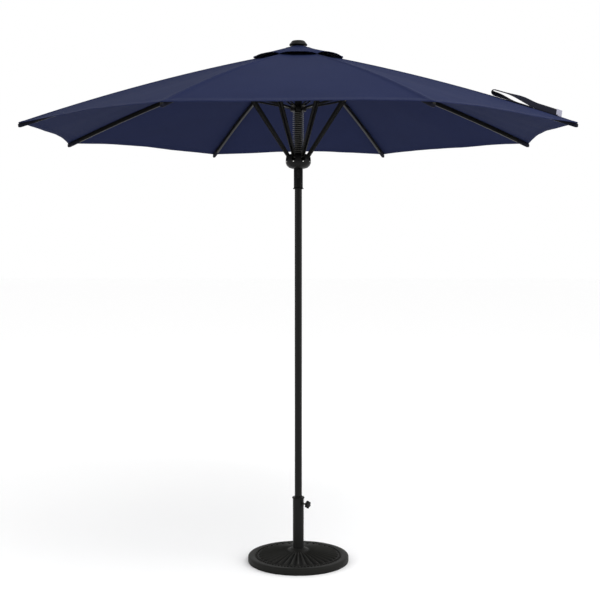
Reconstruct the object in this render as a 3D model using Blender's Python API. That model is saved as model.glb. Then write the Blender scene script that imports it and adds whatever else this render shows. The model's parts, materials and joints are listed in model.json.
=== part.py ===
"""Push-up patio umbrella with eight ribs, a lift spring and a round weighted base.

Units are metres, +Z is up and the origin is the middle of the base's underside.
Every rib, strut, link, tip and canopy panel is made once, in the plane of its rib
(local X outward, local Z up), and copied round the pole.
"""
import math

import bmesh
import bpy
from mathutils import Matrix, Vector

# ---- Driving dimensions ------------------------------------------------------
GAP = 0.0003            # clearance between pieces that touch
RUN_GAP = 0.0005        # clearance each side of a swinging tongue or fork

RIB_COUNT = 8
FIRST_RIB_ANGLE = math.pi / RIB_COUNT

# Base
BASE_RADIUS = 0.253
BASE_RIM_HEIGHT = 0.030
BASE_DOME_HEIGHT = 0.062
BASE_WALL = 0.013
BASE_FLOOR = 0.008
BOSS_WALL = 0.009
BOSS_HEIGHT = 0.010
BASE_TUBE_ROOM = 0.0075  # between the pole and the tube's inner face
BASE_TUBE_WALL = 0.002
BASE_TUBE_TOP = 0.318
RIM_LIP = 0.0035
RIM_LIP_HEIGHT = 0.008
RIM_DEPTH = 0.030

# Clamp on the base tube
CLAMP_BELOW_TOP = 0.024
CLAMP_ANGLE = math.radians(-38)
CLAMP_SCREW_RADIUS = 0.004
CLAMP_NUT_RADIUS = 0.0070
CLAMP_NUT_LENGTH = 0.005
KNOB_RADIUS = 0.0195
KNOB_THICKNESS = 0.016
KNOB_STEM = 0.019
KNOB_EDGE = 0.0035
KNOB_LOBES = 6
KNOB_LOBE_DEPTH = 0.0024
SCREW_IN_KNOB = 0.009

# Pole
POLE_RADIUS = 0.018
POLE_WALL = 0.0013
POLE_SPLIT = 1.200
POLE_NECK_LENGTH = 0.120
POLE_OVER_HUB = 0.010

# Top hub and ribs
HUB_PIVOT_OUT = 0.024    # from the pole's face to the pivots
HUB_PIVOT_HEIGHT = 2.520
HUB_RIM = 0.014          # from the pivots to the hub's outside
HUB_UNDER = 0.017
HUB_OVER = 0.018
TONGUE_WIDTH = 0.005
TONGUE_HEIGHT = 0.011
RING_WIRE_RADIUS = 0.0014
RIB_WIDTH = 0.012
RIB_DEPTH = 0.020
RIB_WALL = 0.0010
RIB_TUBE_START = 0.022
RIB_BOW = 0.025
RIB_STATIONS = 8
TIP_HEAD = 0.016
TIP_SPIGOT = 0.030

# Canopy
CANOPY_RADIUS = 1.350
CANOPY_RIM_BELOW_HUB = 0.385
CANOPY_HOLE_ROOM = 0.019  # between the hub and the cloth's hole
CANOPY_THICKNESS = 0.0015
CANOPY_GAP = 0.0009
HEM_SCALLOP = 0.028
GORE_SAG = 0.012
CANOPY_STEPS_OUT = 9
CANOPY_STEPS_ROUND = 4

# Vent cover
VENT_RADIUS = 0.235
VENT_OVER_POLE = 0.016
VENT_LIFT = 0.014
VENT_THICKNESS = 0.0015

# Finial
FINIAL_RADIUS = 0.0445
FINIAL_TOP_RADIUS = 0.032
FINIAL_HEIGHT = 0.0242
FINIAL_SPIGOT = 0.020

# Runner and struts
RUNNER_PIVOT_OUT = 0.031  # from the pole's face to the pivots
RUNNER_BELOW_HUB = 0.500
RUNNER_RIM = 0.0135
RUNNER_UNDER = 0.054
RUNNER_OVER = 0.019
SLEEVE_WALL = 0.0045
SLEEVE_LENGTH = 0.100
SLEEVE_LIP = 0.0045
SLEEVE_LIP_HEIGHT = 0.007
STRUT_ON_RIB = 0.3014    # level distance out from the rib's own pivot
STRUT_CHEEK = 0.0015
STRUT_INSIDE = 0.0092
STRUT_OUTSIDE = 0.0060
STRUT_END = 0.008
STRUT_HEAD = 0.006
STRUT_WEB_CUT = 0.045

# Release button in the runner's sleeve
BUTTON_RADIUS = 0.0065
BUTTON_BELOW_PIVOT = 0.095
BUTTON_TRAVEL = 0.0022
BUTTON_PROUD = 0.0050

# Slider, links and lift spring
SLIDER_PIVOT_OUT = 0.012  # from the pole's face to the pivots
SLIDER_BELOW_HUB = 0.258
SLIDER_RIM = 0.010
SLIDER_UNDER = 0.015
SLIDER_OVER = 0.012
LINK_ON_STRUT = 0.355
LINK_TONGUE_WIDTH = 0.0055
LINK_DEPTH = 0.009
LINK_PRONG = 0.0015
LINK_NECK = 0.020
LINK_WEB_END = 0.050
LINK_END = 0.008
SPRING_ROOM = 0.008      # between the pole and the middle of the wire
SPRING_WIRE = 0.002
SPRING_TURNS = 14
SPRING_STEPS = 12

# Closing strap on the last rib
STRAP_FROM_TIP = 0.066
STRAP_RUN = 0.325
STRAP_WIDTH = 0.040
STRAP_THICKNESS = 0.003
STRAP_LIFT = 0.018
STRAP_CLEAR = 0.0015

ROUND_SEGMENTS = 32
SMALL_SEGMENTS = 16

# ---- Sizes that follow from those --------------------------------------------
BORE_RADIUS = POLE_RADIUS + GAP * 2
BASE_TUBE_RADIUS = POLE_RADIUS + BASE_TUBE_ROOM + BASE_TUBE_WALL
CLAMP_HEIGHT = BASE_TUBE_TOP - CLAMP_BELOW_TOP
HUB_PIVOT_RADIUS = POLE_RADIUS + HUB_PIVOT_OUT
HUB_RADIUS = HUB_PIVOT_RADIUS + HUB_RIM
POLE_TOP = HUB_PIVOT_HEIGHT + HUB_OVER + POLE_OVER_HUB
CANOPY_RIM_HEIGHT = HUB_PIVOT_HEIGHT - CANOPY_RIM_BELOW_HUB
CANOPY_INNER_RADIUS = HUB_RADIUS + CANOPY_HOLE_ROOM
VENT_INNER_HEIGHT = POLE_TOP + VENT_OVER_POLE
FINIAL_BASE = VENT_INNER_HEIGHT + VENT_THICKNESS + GAP
FINIAL_TOP = FINIAL_BASE + FINIAL_HEIGHT
RUNNER_PIVOT_RADIUS = POLE_RADIUS + RUNNER_PIVOT_OUT
RUNNER_PIVOT_HEIGHT = HUB_PIVOT_HEIGHT - RUNNER_BELOW_HUB
RUNNER_RADIUS = RUNNER_PIVOT_RADIUS + RUNNER_RIM
SLEEVE_RADIUS = POLE_RADIUS + SLEEVE_WALL
SLIDER_PIVOT_RADIUS = POLE_RADIUS + SLIDER_PIVOT_OUT
SLIDER_PIVOT_HEIGHT = HUB_PIVOT_HEIGHT - SLIDER_BELOW_HUB
SLIDER_RADIUS = SLIDER_PIVOT_RADIUS + SLIDER_RIM
SPRING_RADIUS = POLE_RADIUS + SPRING_ROOM
STRAP_END = CANOPY_RADIUS - STRAP_FROM_TIP
STRAP_START = STRAP_END - STRAP_RUN
PIN_HOLE_RADIUS = RING_WIRE_RADIUS + GAP
STRUT_HALF_WIDTH = RIB_WIDTH / 2 + RUN_GAP + STRUT_CHEEK
LINK_HALF_WIDTH = STRUT_HALF_WIDTH + RUN_GAP + LINK_PRONG
RIB_SPAN = CANOPY_RADIUS - HUB_PIVOT_RADIUS
RIB_STEEPEST = (CANOPY_RIM_BELOW_HUB + 4 * RIB_BOW) / RIB_SPAN
# The cloth clears the rib's top edges, which stand higher where the rib is steeper.
RIB_RISE = RIB_DEPTH / 2 * math.hypot(1, RIB_STEEPEST) + CANOPY_GAP
RIB_RISE += RIB_WIDTH / 2 * math.tan(math.pi / RIB_COUNT) * RIB_STEEPEST
RIB_DROP = HUB_PIVOT_HEIGHT + RIB_RISE - CANOPY_RIM_HEIGHT
RIB_END = RIB_SPAN - TIP_HEAD - GAP
CORNER = 1 / math.cos(math.pi / RIB_COUNT)


# ---- General helpers ---------------------------------------------------------
def clear_scene():
    """Remove whatever the file holds."""
    for obj in list(bpy.data.objects):
        bpy.data.objects.remove(obj, do_unlink=True)


def finish_mesh(bm, name, smooth=False):
    """Turn a bmesh into mesh data with its faces pointing out."""
    bmesh.ops.recalc_face_normals(bm, faces=bm.faces)
    mesh = bpy.data.meshes.new(name)
    bm.to_mesh(mesh)
    bm.free()
    if smooth:
        mesh.shade_smooth()
        mesh.set_sharp_from_angle(angle=math.radians(35))
    return mesh


def add_object(name, mesh, material, location=(0, 0, 0), turn=0.0):
    """Put mesh data in the scene as one named sub-part."""
    obj = bpy.data.objects.new(name, mesh)
    bpy.context.collection.objects.link(obj)
    obj.location = location
    obj.rotation_euler = (0, 0, turn)
    obj.data.materials.clear()
    obj.data.materials.append(material)
    return obj


def loft_mesh(name, rings, smooth=False):
    """Skin closed rings of equal point count and cap both ends."""
    bm = bmesh.new()
    made = [[bm.verts.new(point) for point in ring] for ring in rings]
    count = len(rings[0])
    for low, high in zip(made, made[1:]):
        for i in range(count):
            j = (i + 1) % count
            bm.faces.new((low[i], low[j], high[j], high[i]))
    bm.faces.new(made[0])
    bm.faces.new(made[-1])
    return finish_mesh(bm, name, smooth)


def ring_loft_mesh(name, rings, smooth=False):
    """Skin closed rings into a loop that joins its own start, such as a tube wall."""
    bm = bmesh.new()
    made = [[bm.verts.new(point) for point in ring] for ring in rings]
    count = len(rings[0])
    for k, low in enumerate(made):
        high = made[(k + 1) % len(made)]
        for i in range(count):
            j = (i + 1) % count
            bm.faces.new((low[i], low[j], high[j], high[i]))
    return finish_mesh(bm, name, smooth)


def turned_mesh(name, profile, segments=ROUND_SEGMENTS):
    """Turn a closed outline of (radius, height) points about Z."""
    bm = bmesh.new()
    columns = []
    for radius, height in profile:
        if radius == 0:
            columns.append([bm.verts.new((0, 0, height))])
            continue
        ring = []
        for i in range(segments):
            angle = math.tau * i / segments
            place = (radius * math.cos(angle), radius * math.sin(angle), height)
            ring.append(bm.verts.new(place))
        columns.append(ring)
    for k, low in enumerate(columns):
        high = columns[(k + 1) % len(columns)]
        if len(low) == 1 and len(high) == 1:
            continue
        for i in range(segments):
            j = (i + 1) % segments
            corners = [low[i % len(low)], low[j % len(low)]]
            corners += [high[j % len(high)], high[i % len(high)]]
            bm.faces.new(list(dict.fromkeys(corners)))
    return finish_mesh(bm, name, smooth=True)


def outline_mesh(name, outline, low, high, smooth=False):
    """Extrude an (x, y) outline from height low to height high."""
    rings = [[(x, y, z) for x, y in outline] for z in (low, high)]
    return loft_mesh(name, rings, smooth)


def box_mesh(name, x, y, z):
    """Make a box from its (low, high) spans."""
    outline = [(x[0], y[0]), (x[1], y[0]), (x[1], y[1]), (x[0], y[1])]
    return outline_mesh(name, outline, z[0], z[1])


def rod_mesh(name, start, end, radius, segments=12):
    """Make a round rod between two points."""
    start = Vector(start)
    end = Vector(end)
    turn = (end - start).to_track_quat("Z", "Y")
    rings = []
    for centre in (start, end):
        ring = []
        for i in range(segments):
            angle = math.tau * i / segments
            spoke = Vector((radius * math.cos(angle), radius * math.sin(angle), 0))
            ring.append(centre + turn @ spoke)
        rings.append(ring)
    return loft_mesh(name, rings, smooth=True)


def joined_mesh(name, base, tools, smooth=False):
    """Apply (operation, mesh) pairs to a mesh with exact Booleans."""
    holder = bpy.data.objects.new(name + "_work", base)
    bpy.context.collection.objects.link(holder)
    helpers = []
    for operation, mesh in tools:
        helper = bpy.data.objects.new(name + "_tool", mesh)
        bpy.context.collection.objects.link(helper)
        helpers.append(helper)
        modifier = holder.modifiers.new(operation.lower(), "BOOLEAN")
        modifier.operation = operation
        modifier.solver = "EXACT"
        modifier.object = helper
    depsgraph = bpy.context.evaluated_depsgraph_get()
    result = bpy.data.meshes.new_from_object(holder.evaluated_get(depsgraph))
    result.name = name
    for helper in helpers:
        bpy.data.objects.remove(helper, do_unlink=True)
    bpy.data.objects.remove(holder, do_unlink=True)
    if smooth:
        result.shade_smooth()
        result.set_sharp_from_angle(angle=math.radians(35))
    return result


def rib_angles():
    """Angles of the ribs round the pole, anticlockwise from +X."""
    return [FIRST_RIB_ANGLE + math.tau * i / RIB_COUNT for i in range(RIB_COUNT)]


def on_circle(radius, angle, height):
    """A point at a radius, angle and height."""
    return (radius * math.cos(angle), radius * math.sin(angle), height)


# ---- Materials ---------------------------------------------------------------
def make_material(name, colour, roughness, metallic=0.0):
    """A plain Principled material."""
    material = bpy.data.materials.new(name)
    material.use_nodes = True
    shader = material.node_tree.nodes["Principled BSDF"]
    shader.inputs["Base Color"].default_value = (*colour, 1.0)
    shader.inputs["Roughness"].default_value = roughness
    shader.inputs["Metallic"].default_value = metallic
    return material


def make_materials():
    """Every finish the umbrella uses."""
    return {
        "fabric": make_material("navy_fabric", (0.020, 0.028, 0.090), 0.85),
        "strap": make_material("strap_webbing", (0.012, 0.012, 0.022), 0.80),
        "metal": make_material("black_powder_coat", (0.018, 0.018, 0.017), 0.42, 0.3),
        "plastic": make_material("black_plastic", (0.012, 0.012, 0.012), 0.35),
        "cast": make_material("cast_base_black", (0.022, 0.022, 0.020), 0.55, 0.2),
        "steel": make_material("spring_steel", (0.16, 0.16, 0.15), 0.35, 0.9),
    }


# ---- The line of a rib and of the cloth over it ------------------------------
def rib_drop_at(out):
    """Height of a rib's centre line above its pivot, at a distance out from the pivot."""
    share = out / RIB_SPAN
    return -RIB_DROP * share + 4 * RIB_BOW * share * (1 - share)


def rib_slope_at(out):
    """Slope of a rib's centre line."""
    share = out / RIB_SPAN
    return (-RIB_DROP + 4 * RIB_BOW * (1 - 2 * share)) / RIB_SPAN


def rib_point(out, side, up):
    """A point beside a rib's centre line, square to the line."""
    slope = rib_slope_at(out)
    length = math.hypot(1, slope)
    return (out - up * slope / length, side, rib_drop_at(out) + up / length)


def canopy_height(radius):
    """Height of the cloth's underside over a rib."""
    return HUB_PIVOT_HEIGHT + rib_drop_at(radius - HUB_PIVOT_RADIUS) + RIB_RISE


# ---- Base --------------------------------------------------------------------
def build_base(mats):
    """Weighted plate, tube, rim insert and clamp nut."""
    hole = BASE_TUBE_RADIUS + GAP
    boss = hole + BOSS_WALL
    top = BASE_DOME_HEIGHT + BOSS_HEIGHT * 0.6
    skirt = BASE_RADIUS - BASE_WALL * 1.7
    profile = [
        (0, 0),
        (boss, 0),
        (boss + 0.004, BASE_DOME_HEIGHT - BASE_WALL - 0.006),
        (skirt - 0.010, BASE_RIM_HEIGHT - BASE_WALL),
        (skirt, 0),
        (BASE_RADIUS - 0.003, 0),
        (BASE_RADIUS, 0.004),
        (BASE_RADIUS - 0.0005, BASE_RIM_HEIGHT - 0.006),
        (BASE_RADIUS - 0.003, BASE_RIM_HEIGHT),
        (BASE_RADIUS - 0.011, BASE_RIM_HEIGHT + 0.003),
        (BASE_RADIUS - 0.036, BASE_RIM_HEIGHT + 0.003),
        (BASE_RADIUS - 0.042, BASE_RIM_HEIGHT - 0.001),
        (boss + 0.016, BASE_DOME_HEIGHT - 0.004),
        (boss + 0.003, BASE_DOME_HEIGHT + 0.002),
        (boss - 0.002, top),
        (hole, top),
        (hole, BASE_FLOOR),
        (0, BASE_FLOOR),
    ]
    add_object("base_plate", turned_mesh("base_plate", profile), mats["cast"])

    inner = BASE_TUBE_RADIUS - BASE_TUBE_WALL
    foot = BASE_FLOOR + GAP
    tube = turned_mesh(
        "base_tube",
        [
            (inner, foot),
            (BASE_TUBE_RADIUS, foot),
            (BASE_TUBE_RADIUS, BASE_TUBE_TOP),
            (inner, BASE_TUBE_TOP),
        ],
        ROUND_SEGMENTS,
    )
    screw_hole = rod_mesh(
        "screw_hole",
        on_circle(inner - 0.004, CLAMP_ANGLE, CLAMP_HEIGHT),
        on_circle(BASE_TUBE_RADIUS + 0.004, CLAMP_ANGLE, CLAMP_HEIGHT),
        CLAMP_SCREW_RADIUS + GAP,
    )
    tube = joined_mesh("base_tube", tube, [("DIFFERENCE", screw_hole)], smooth=True)
    add_object("base_tube", tube, mats["metal"])

    # The insert ends above the clamp screw.
    insert_low = CLAMP_HEIGHT + CLAMP_SCREW_RADIUS + GAP * 4
    insert_low = max(insert_low, BASE_TUBE_TOP - RIM_DEPTH)
    lip_low = BASE_TUBE_TOP + GAP
    rim = [
        (BORE_RADIUS, insert_low),
        (inner - GAP, insert_low),
        (inner - GAP, lip_low),
        (BASE_TUBE_RADIUS + RIM_LIP, lip_low),
        (BASE_TUBE_RADIUS + RIM_LIP, lip_low + RIM_LIP_HEIGHT * 0.6),
        (BASE_TUBE_RADIUS + RIM_LIP * 0.3, lip_low + RIM_LIP_HEIGHT),
        (BORE_RADIUS, lip_low + RIM_LIP_HEIGHT),
    ]
    add_object("tube_rim", turned_mesh("tube_rim", rim), mats["plastic"])

    bore = CLAMP_SCREW_RADIUS + GAP
    nut = turned_mesh(
        "clamp_nut",
        [
            (bore, GAP),
            (CLAMP_NUT_RADIUS, GAP),
            (CLAMP_NUT_RADIUS, CLAMP_NUT_LENGTH),
            (bore, CLAMP_NUT_LENGTH),
        ],
        SMALL_SEGMENTS,
    )
    place_on_clamp_axis(add_object("clamp_nut", nut, mats["metal"]), BASE_TUBE_RADIUS)


def place_on_clamp_axis(obj, distance):
    """Lay a turned piece along the clamp's axis, its foot at a distance from the pole."""
    obj.location = on_circle(distance, CLAMP_ANGLE, CLAMP_HEIGHT)
    obj.rotation_euler = (0, math.pi / 2, CLAMP_ANGLE)


def build_clamp(mats):
    """Knob and screw that grip the pole."""
    knob_foot = BASE_TUBE_RADIUS + CLAMP_NUT_LENGTH + KNOB_STEM
    screw_tip = POLE_RADIUS + GAP
    screw_end = knob_foot + SCREW_IN_KNOB
    screw = turned_mesh(
        "clamp_screw",
        [
            (0, 0),
            (CLAMP_SCREW_RADIUS * 0.7, 0),
            (CLAMP_SCREW_RADIUS, 0.0015),
            (CLAMP_SCREW_RADIUS, screw_end - screw_tip),
            (0, screw_end - screw_tip),
        ],
        SMALL_SEGMENTS,
    )
    place_on_clamp_axis(add_object("clamp_screw", screw, mats["steel"]), screw_tip)

    outline = []
    for i in range(KNOB_LOBES * 8):
        angle = math.tau * i / (KNOB_LOBES * 8)
        radius = KNOB_RADIUS - KNOB_LOBE_DEPTH * (1 - math.cos(KNOB_LOBES * angle))
        outline.append((radius * math.cos(angle), radius * math.sin(angle)))
    rings = []
    levels = (
        (0.80, 0),
        (1.0, KNOB_EDGE),
        (1.0, KNOB_THICKNESS - KNOB_EDGE),
        (0.80, KNOB_THICKNESS),
    )
    for share, height in levels:
        rings.append([(x * share, y * share, height) for x, y in outline])
    knob = loft_mesh("clamp_knob", rings, smooth=True)
    socket = rod_mesh(
        "knob_socket",
        (0, 0, -0.002),
        (0, 0, SCREW_IN_KNOB + GAP),
        CLAMP_SCREW_RADIUS + GAP,
        SMALL_SEGMENTS,
    )
    knob = joined_mesh("clamp_knob", knob, [("DIFFERENCE", socket)], smooth=True)
    place_on_clamp_axis(add_object("clamp_knob", knob, mats["plastic"]), knob_foot)


# ---- Pole, top hub, vent and finial ------------------------------------------
def build_pole(mats):
    """Two pole tubes that plug together."""
    inner = POLE_RADIUS - POLE_WALL
    neck = inner - GAP
    neck_inner = neck - POLE_WALL
    foot = BASE_FLOOR + GAP * 2
    lower = [
        (neck_inner, foot),
        (POLE_RADIUS, foot),
        (POLE_RADIUS, POLE_SPLIT),
        (neck, POLE_SPLIT),
        (neck, POLE_SPLIT + POLE_NECK_LENGTH),
        (neck_inner, POLE_SPLIT + POLE_NECK_LENGTH),
    ]
    add_object("lower_pole", turned_mesh("lower_pole", lower, 32), mats["metal"])
    upper = [
        (inner, POLE_SPLIT + GAP),
        (POLE_RADIUS, POLE_SPLIT + GAP),
        (POLE_RADIUS, POLE_TOP),
        (inner, POLE_TOP),
    ]
    add_object("upper_pole", turned_mesh("upper_pole", upper, 32), mats["metal"])


def slot_cutters(inner, outer, half_width, low, high):
    """One box per rib, for the slots in a hub."""
    cutters = []
    for angle in rib_angles():
        cutter = box_mesh("slot", (inner, outer), (-half_width, half_width), (low, high))
        cutter.transform(Matrix.Rotation(angle, 4, "Z"))
        cutters.append(("DIFFERENCE", cutter))
    return cutters


def wire_ring_mesh(name, pivot_radius, height):
    """A wire bent to one straight side per rib, the pin of that rib's hinge."""
    rings = []
    for angle in rib_angles():
        corner = angle + math.pi / RIB_COUNT
        spoke = Vector(on_circle(1, corner, 0))
        centre = spoke * pivot_radius * CORNER + Vector((0, 0, height))
        ring = []
        for i in range(8):
            around = math.tau * (i + 0.5) / 8
            across = spoke * CORNER * RING_WIRE_RADIUS * math.cos(around)
            ring.append(centre + across + Vector((0, 0, RING_WIRE_RADIUS * math.sin(around))))
        rings.append(ring)
    return ring_loft_mesh(name, rings, smooth=True)


def groove_radii(pivot_radius):
    """Inner and outer radius of the groove that a wire ring lies in."""
    clear = RING_WIRE_RADIUS + GAP * 2
    return pivot_radius - clear, pivot_radius * CORNER + clear * CORNER


def build_top_hub(mats):
    """Slotted hub on the pole's top, with its wire ring."""
    low = HUB_PIVOT_HEIGHT - HUB_UNDER
    high = HUB_PIVOT_HEIGHT + HUB_OVER
    groove_in, groove_out = groove_radii(HUB_PIVOT_RADIUS)
    groove_floor = HUB_PIVOT_HEIGHT - RING_WIRE_RADIUS - GAP * 2
    profile = [
        (BORE_RADIUS, low),
        (HUB_RADIUS - 0.004, low),
        (HUB_RADIUS, low + 0.004),
        (HUB_RADIUS, high - 0.003),
        (groove_out, high - 0.003),
        (groove_out, groove_floor),
        (groove_in, groove_floor),
        (groove_in, high),
        (BORE_RADIUS, high),
    ]
    slots = slot_cutters(
        HUB_PIVOT_RADIUS - TONGUE_HEIGHT / 2 - RUN_GAP * 2,
        HUB_RADIUS + 0.010,
        TONGUE_WIDTH / 2 + RUN_GAP,
        low - 0.010,
        high + 0.010,
    )
    hub = joined_mesh("top_hub", turned_mesh("top_hub", profile), slots, smooth=True)
    add_object("top_hub", hub, mats["plastic"])
    ring = wire_ring_mesh("hub_ring", HUB_PIVOT_RADIUS, HUB_PIVOT_HEIGHT)
    add_object("hub_ring", ring, mats["steel"])


def vent_height(radius):
    """Height of the vent cover's underside over a rib."""
    inner = POLE_RADIUS + GAP * 6
    edge = canopy_height(VENT_RADIUS) + VENT_LIFT
    share = (radius - inner) / (VENT_RADIUS - inner)
    return VENT_INNER_HEIGHT + (edge - VENT_INNER_HEIGHT) * share


def build_vent(mats):
    """Eight-sided cover that stands over the hole in the canopy's middle."""
    inner = POLE_RADIUS + GAP * 6
    radii = [inner, VENT_RADIUS * 0.35, VENT_RADIUS * 0.7, VENT_RADIUS]
    sides = RIB_COUNT * 2
    walls = []
    levels = [(radius, 0) for radius in radii]
    levels += [(radius, VENT_THICKNESS) for radius in reversed(radii)]
    for radius, lift in levels:
        ring = []
        for i in range(sides):
            angle = FIRST_RIB_ANGLE + math.tau * i / sides
            reach = radius if i % 2 == 0 else radius / CORNER
            ring.append(on_circle(reach, angle, vent_height(radius) + lift))
        walls.append(ring)
    add_object("vent_cover", ring_loft_mesh("vent_cover", walls), mats["fabric"])


def build_finial(mats):
    """Flat knob that screws into the pole's top and clamps the vent cover."""
    base = FINIAL_BASE
    spigot = POLE_RADIUS - POLE_WALL - GAP
    profile = [
        (0, POLE_TOP - FINIAL_SPIGOT),
        (spigot, POLE_TOP - FINIAL_SPIGOT),
        (spigot, base),
        (FINIAL_RADIUS - 0.003, base),
        (FINIAL_RADIUS, base + 0.003),
        (FINIAL_RADIUS, base + 0.007),
        (FINIAL_RADIUS - 0.0025, base + 0.010),
        (FINIAL_TOP_RADIUS + 0.0025, FINIAL_TOP - 0.005),
        (FINIAL_TOP_RADIUS, FINIAL_TOP - 0.0015),
        (FINIAL_TOP_RADIUS - 0.003, FINIAL_TOP),
        (0, FINIAL_TOP),
    ]
    add_object("finial", turned_mesh("finial", profile), mats["plastic"])


# ---- Ribs, tips and canopy panels --------------------------------------------
def rectangle_on_rib(out, half_width, half_depth):
    """Corners of a rib's section at a distance out."""
    corners = ((-1, -1), (1, -1), (1, 1), (-1, 1))
    return [rib_point(out, side * half_width, up * half_depth) for side, up in corners]


def rib_mesh():
    """Hollow rectangular tube, bowed, with a flat tongue for the hub."""
    half_width = RIB_WIDTH / 2
    half_depth = RIB_DEPTH / 2
    wall = RIB_WALL
    span = RIB_END - RIB_TUBE_START
    stations = [RIB_TUBE_START + span * i / RIB_STATIONS for i in range(RIB_STATIONS + 1)]
    outer = [rectangle_on_rib(out, half_width, half_depth) for out in stations]
    inside = [RIB_TUBE_START + 0.006] + stations[1:]
    inner = [rectangle_on_rib(out, half_width - wall, half_depth - wall) for out in inside]
    tube = loft_mesh("rib_tube", outer + inner[::-1])
    top = TONGUE_HEIGHT / 2
    low = [(-top * math.cos(a), -top * math.sin(a)) for a in (math.pi / 2, math.pi / 4, 0)]
    arc = low + [(x, -z) for x, z in low[1::-1]]
    end = RIB_TUBE_START + 0.003
    end_low = rib_point(end, 0, -top)
    end_high = rib_point(end, 0, top)
    outline = [(end_low[0], end_low[2])] + arc + [(end_high[0], end_high[2])]
    rings = [[(x, side, z) for x, z in outline] for side in (-TONGUE_WIDTH / 2, TONGUE_WIDTH / 2)]
    tongue = loft_mesh("rib_tongue", rings)
    hole = rod_mesh("rib_hole", (0, -0.02, 0), (0, 0.02, 0), PIN_HOLE_RADIUS)
    return joined_mesh("rib", tube, [("UNION", tongue), ("DIFFERENCE", hole)])


def tip_mesh():
    """Plug that closes a rib's outer end and holds the canopy's pocket."""
    fit_width = RIB_WIDTH / 2 - RIB_WALL - GAP
    fit_depth = RIB_DEPTH / 2 - RIB_WALL - GAP
    head = RIB_END + GAP
    sections = [
        (RIB_END - TIP_SPIGOT, fit_width, fit_depth),
        (head, fit_width, fit_depth),
        (head, RIB_WIDTH / 2, RIB_DEPTH / 2),
        (head + TIP_HEAD * 0.6, RIB_WIDTH / 2, RIB_DEPTH / 2),
        (head + TIP_HEAD, RIB_WIDTH * 0.3, RIB_DEPTH * 0.3),
    ]
    return loft_mesh("rib_tip", [rectangle_on_rib(*section) for section in sections])


def cloth_point(share_out, share_round, lift):
    """A point of one canopy panel, in its rib's local frame.

    share_out runs from the panel's inner edge to its hem. share_round runs from
    -1 to 1 across the panel, whose edges are the middles of the two gores.
    """
    across = abs(share_round) / 2
    dip = 4 * across * (1 - across)
    hem = CANOPY_RADIUS - HEM_SCALLOP * dip
    radius = CANOPY_INNER_RADIUS + (hem - CANOPY_INNER_RADIUS) * share_out
    step = math.tau / RIB_COUNT
    across = across - GAP * 0.5 / (2 * radius * math.sin(step / 2)) * abs(share_round)
    near = Vector((radius, 0))
    far = Vector((radius * math.cos(step), radius * math.sin(step)))
    flat = near.lerp(far, across)
    sag = GORE_SAG * dip * 4 * share_out * (1 - share_out)
    height = canopy_height(radius) - sag + lift - HUB_PIVOT_HEIGHT
    side = flat.y if share_round >= 0 else -flat.y
    return (flat.x - HUB_PIVOT_RADIUS, side, height)


def panel_mesh():
    """One kite of cloth, half a gore to each side of its rib."""
    bm = bmesh.new()
    sheets = []
    for lift in (0, CANOPY_THICKNESS):
        rows = []
        for i in range(CANOPY_STEPS_OUT + 1):
            row = []
            for j in range(-CANOPY_STEPS_ROUND, CANOPY_STEPS_ROUND + 1):
                place = cloth_point(i / CANOPY_STEPS_OUT, j / CANOPY_STEPS_ROUND, lift)
                row.append(bm.verts.new(place))
            rows.append(row)
        sheets.append(rows)
        for row, after in zip(rows, rows[1:]):
            for j in range(len(row) - 1):
                bm.faces.new((row[j], row[j + 1], after[j + 1], after[j]))
    under, over = sheets
    edge = [under[0], over[0]], [under[-1], over[-1]]
    for low, high in edge:
        for j in range(len(low) - 1):
            bm.faces.new((low[j], low[j + 1], high[j + 1], high[j]))
    for side in (0, -1):
        for i in range(CANOPY_STEPS_OUT):
            corners = (under[i][side], under[i + 1][side], over[i + 1][side], over[i][side])
            bm.faces.new(corners)
    return finish_mesh(bm, "canopy_panel")


def build_ribs(mats):
    """Eight ribs, each with its tip and its panel of cloth."""
    rib = rib_mesh()
    tip = tip_mesh()
    panel = panel_mesh()
    for number, angle in enumerate(rib_angles(), 1):
        pivot = on_circle(HUB_PIVOT_RADIUS, angle, HUB_PIVOT_HEIGHT)
        add_object(f"rib_{number}", rib, mats["metal"], pivot, angle)
        add_object(f"rib_tip_{number}", tip, mats["plastic"], pivot, angle)
        add_object(f"canopy_panel_{number}", panel, mats["fabric"], pivot, angle)


def build_strap(mats):
    """Closing strap that lies in a low arch along the last rib's ridge."""
    steps = 10
    rings = []
    for i in range(steps + 1):
        share = i / steps
        radius = STRAP_START + (STRAP_END - STRAP_START) * share
        arch = STRAP_LIFT * math.sin(math.pi * share ** 0.6)
        low = canopy_height(radius) + CANOPY_THICKNESS + STRAP_CLEAR + arch - HUB_PIVOT_HEIGHT
        out = radius - HUB_PIVOT_RADIUS
        half = STRAP_WIDTH / 2
        high = low + STRAP_THICKNESS
        rings.append([(out, -half, low), (out, half, low), (out, half, high), (out, -half, high)])
    angle = rib_angles()[-1]
    pivot = on_circle(HUB_PIVOT_RADIUS, angle, HUB_PIVOT_HEIGHT)
    add_object("closing_strap", loft_mesh("closing_strap", rings), mats["strap"], pivot, angle)


# ---- Runner, struts and release button ---------------------------------------
def strut_reach():
    """Vector from a strut's runner pivot to its pivot on the rib, in the rib's plane."""
    foot = Vector((RUNNER_PIVOT_RADIUS, RUNNER_PIVOT_HEIGHT))
    head = Vector((HUB_PIVOT_RADIUS + STRUT_ON_RIB, HUB_PIVOT_HEIGHT + rib_drop_at(STRUT_ON_RIB)))
    return head - foot


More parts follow.
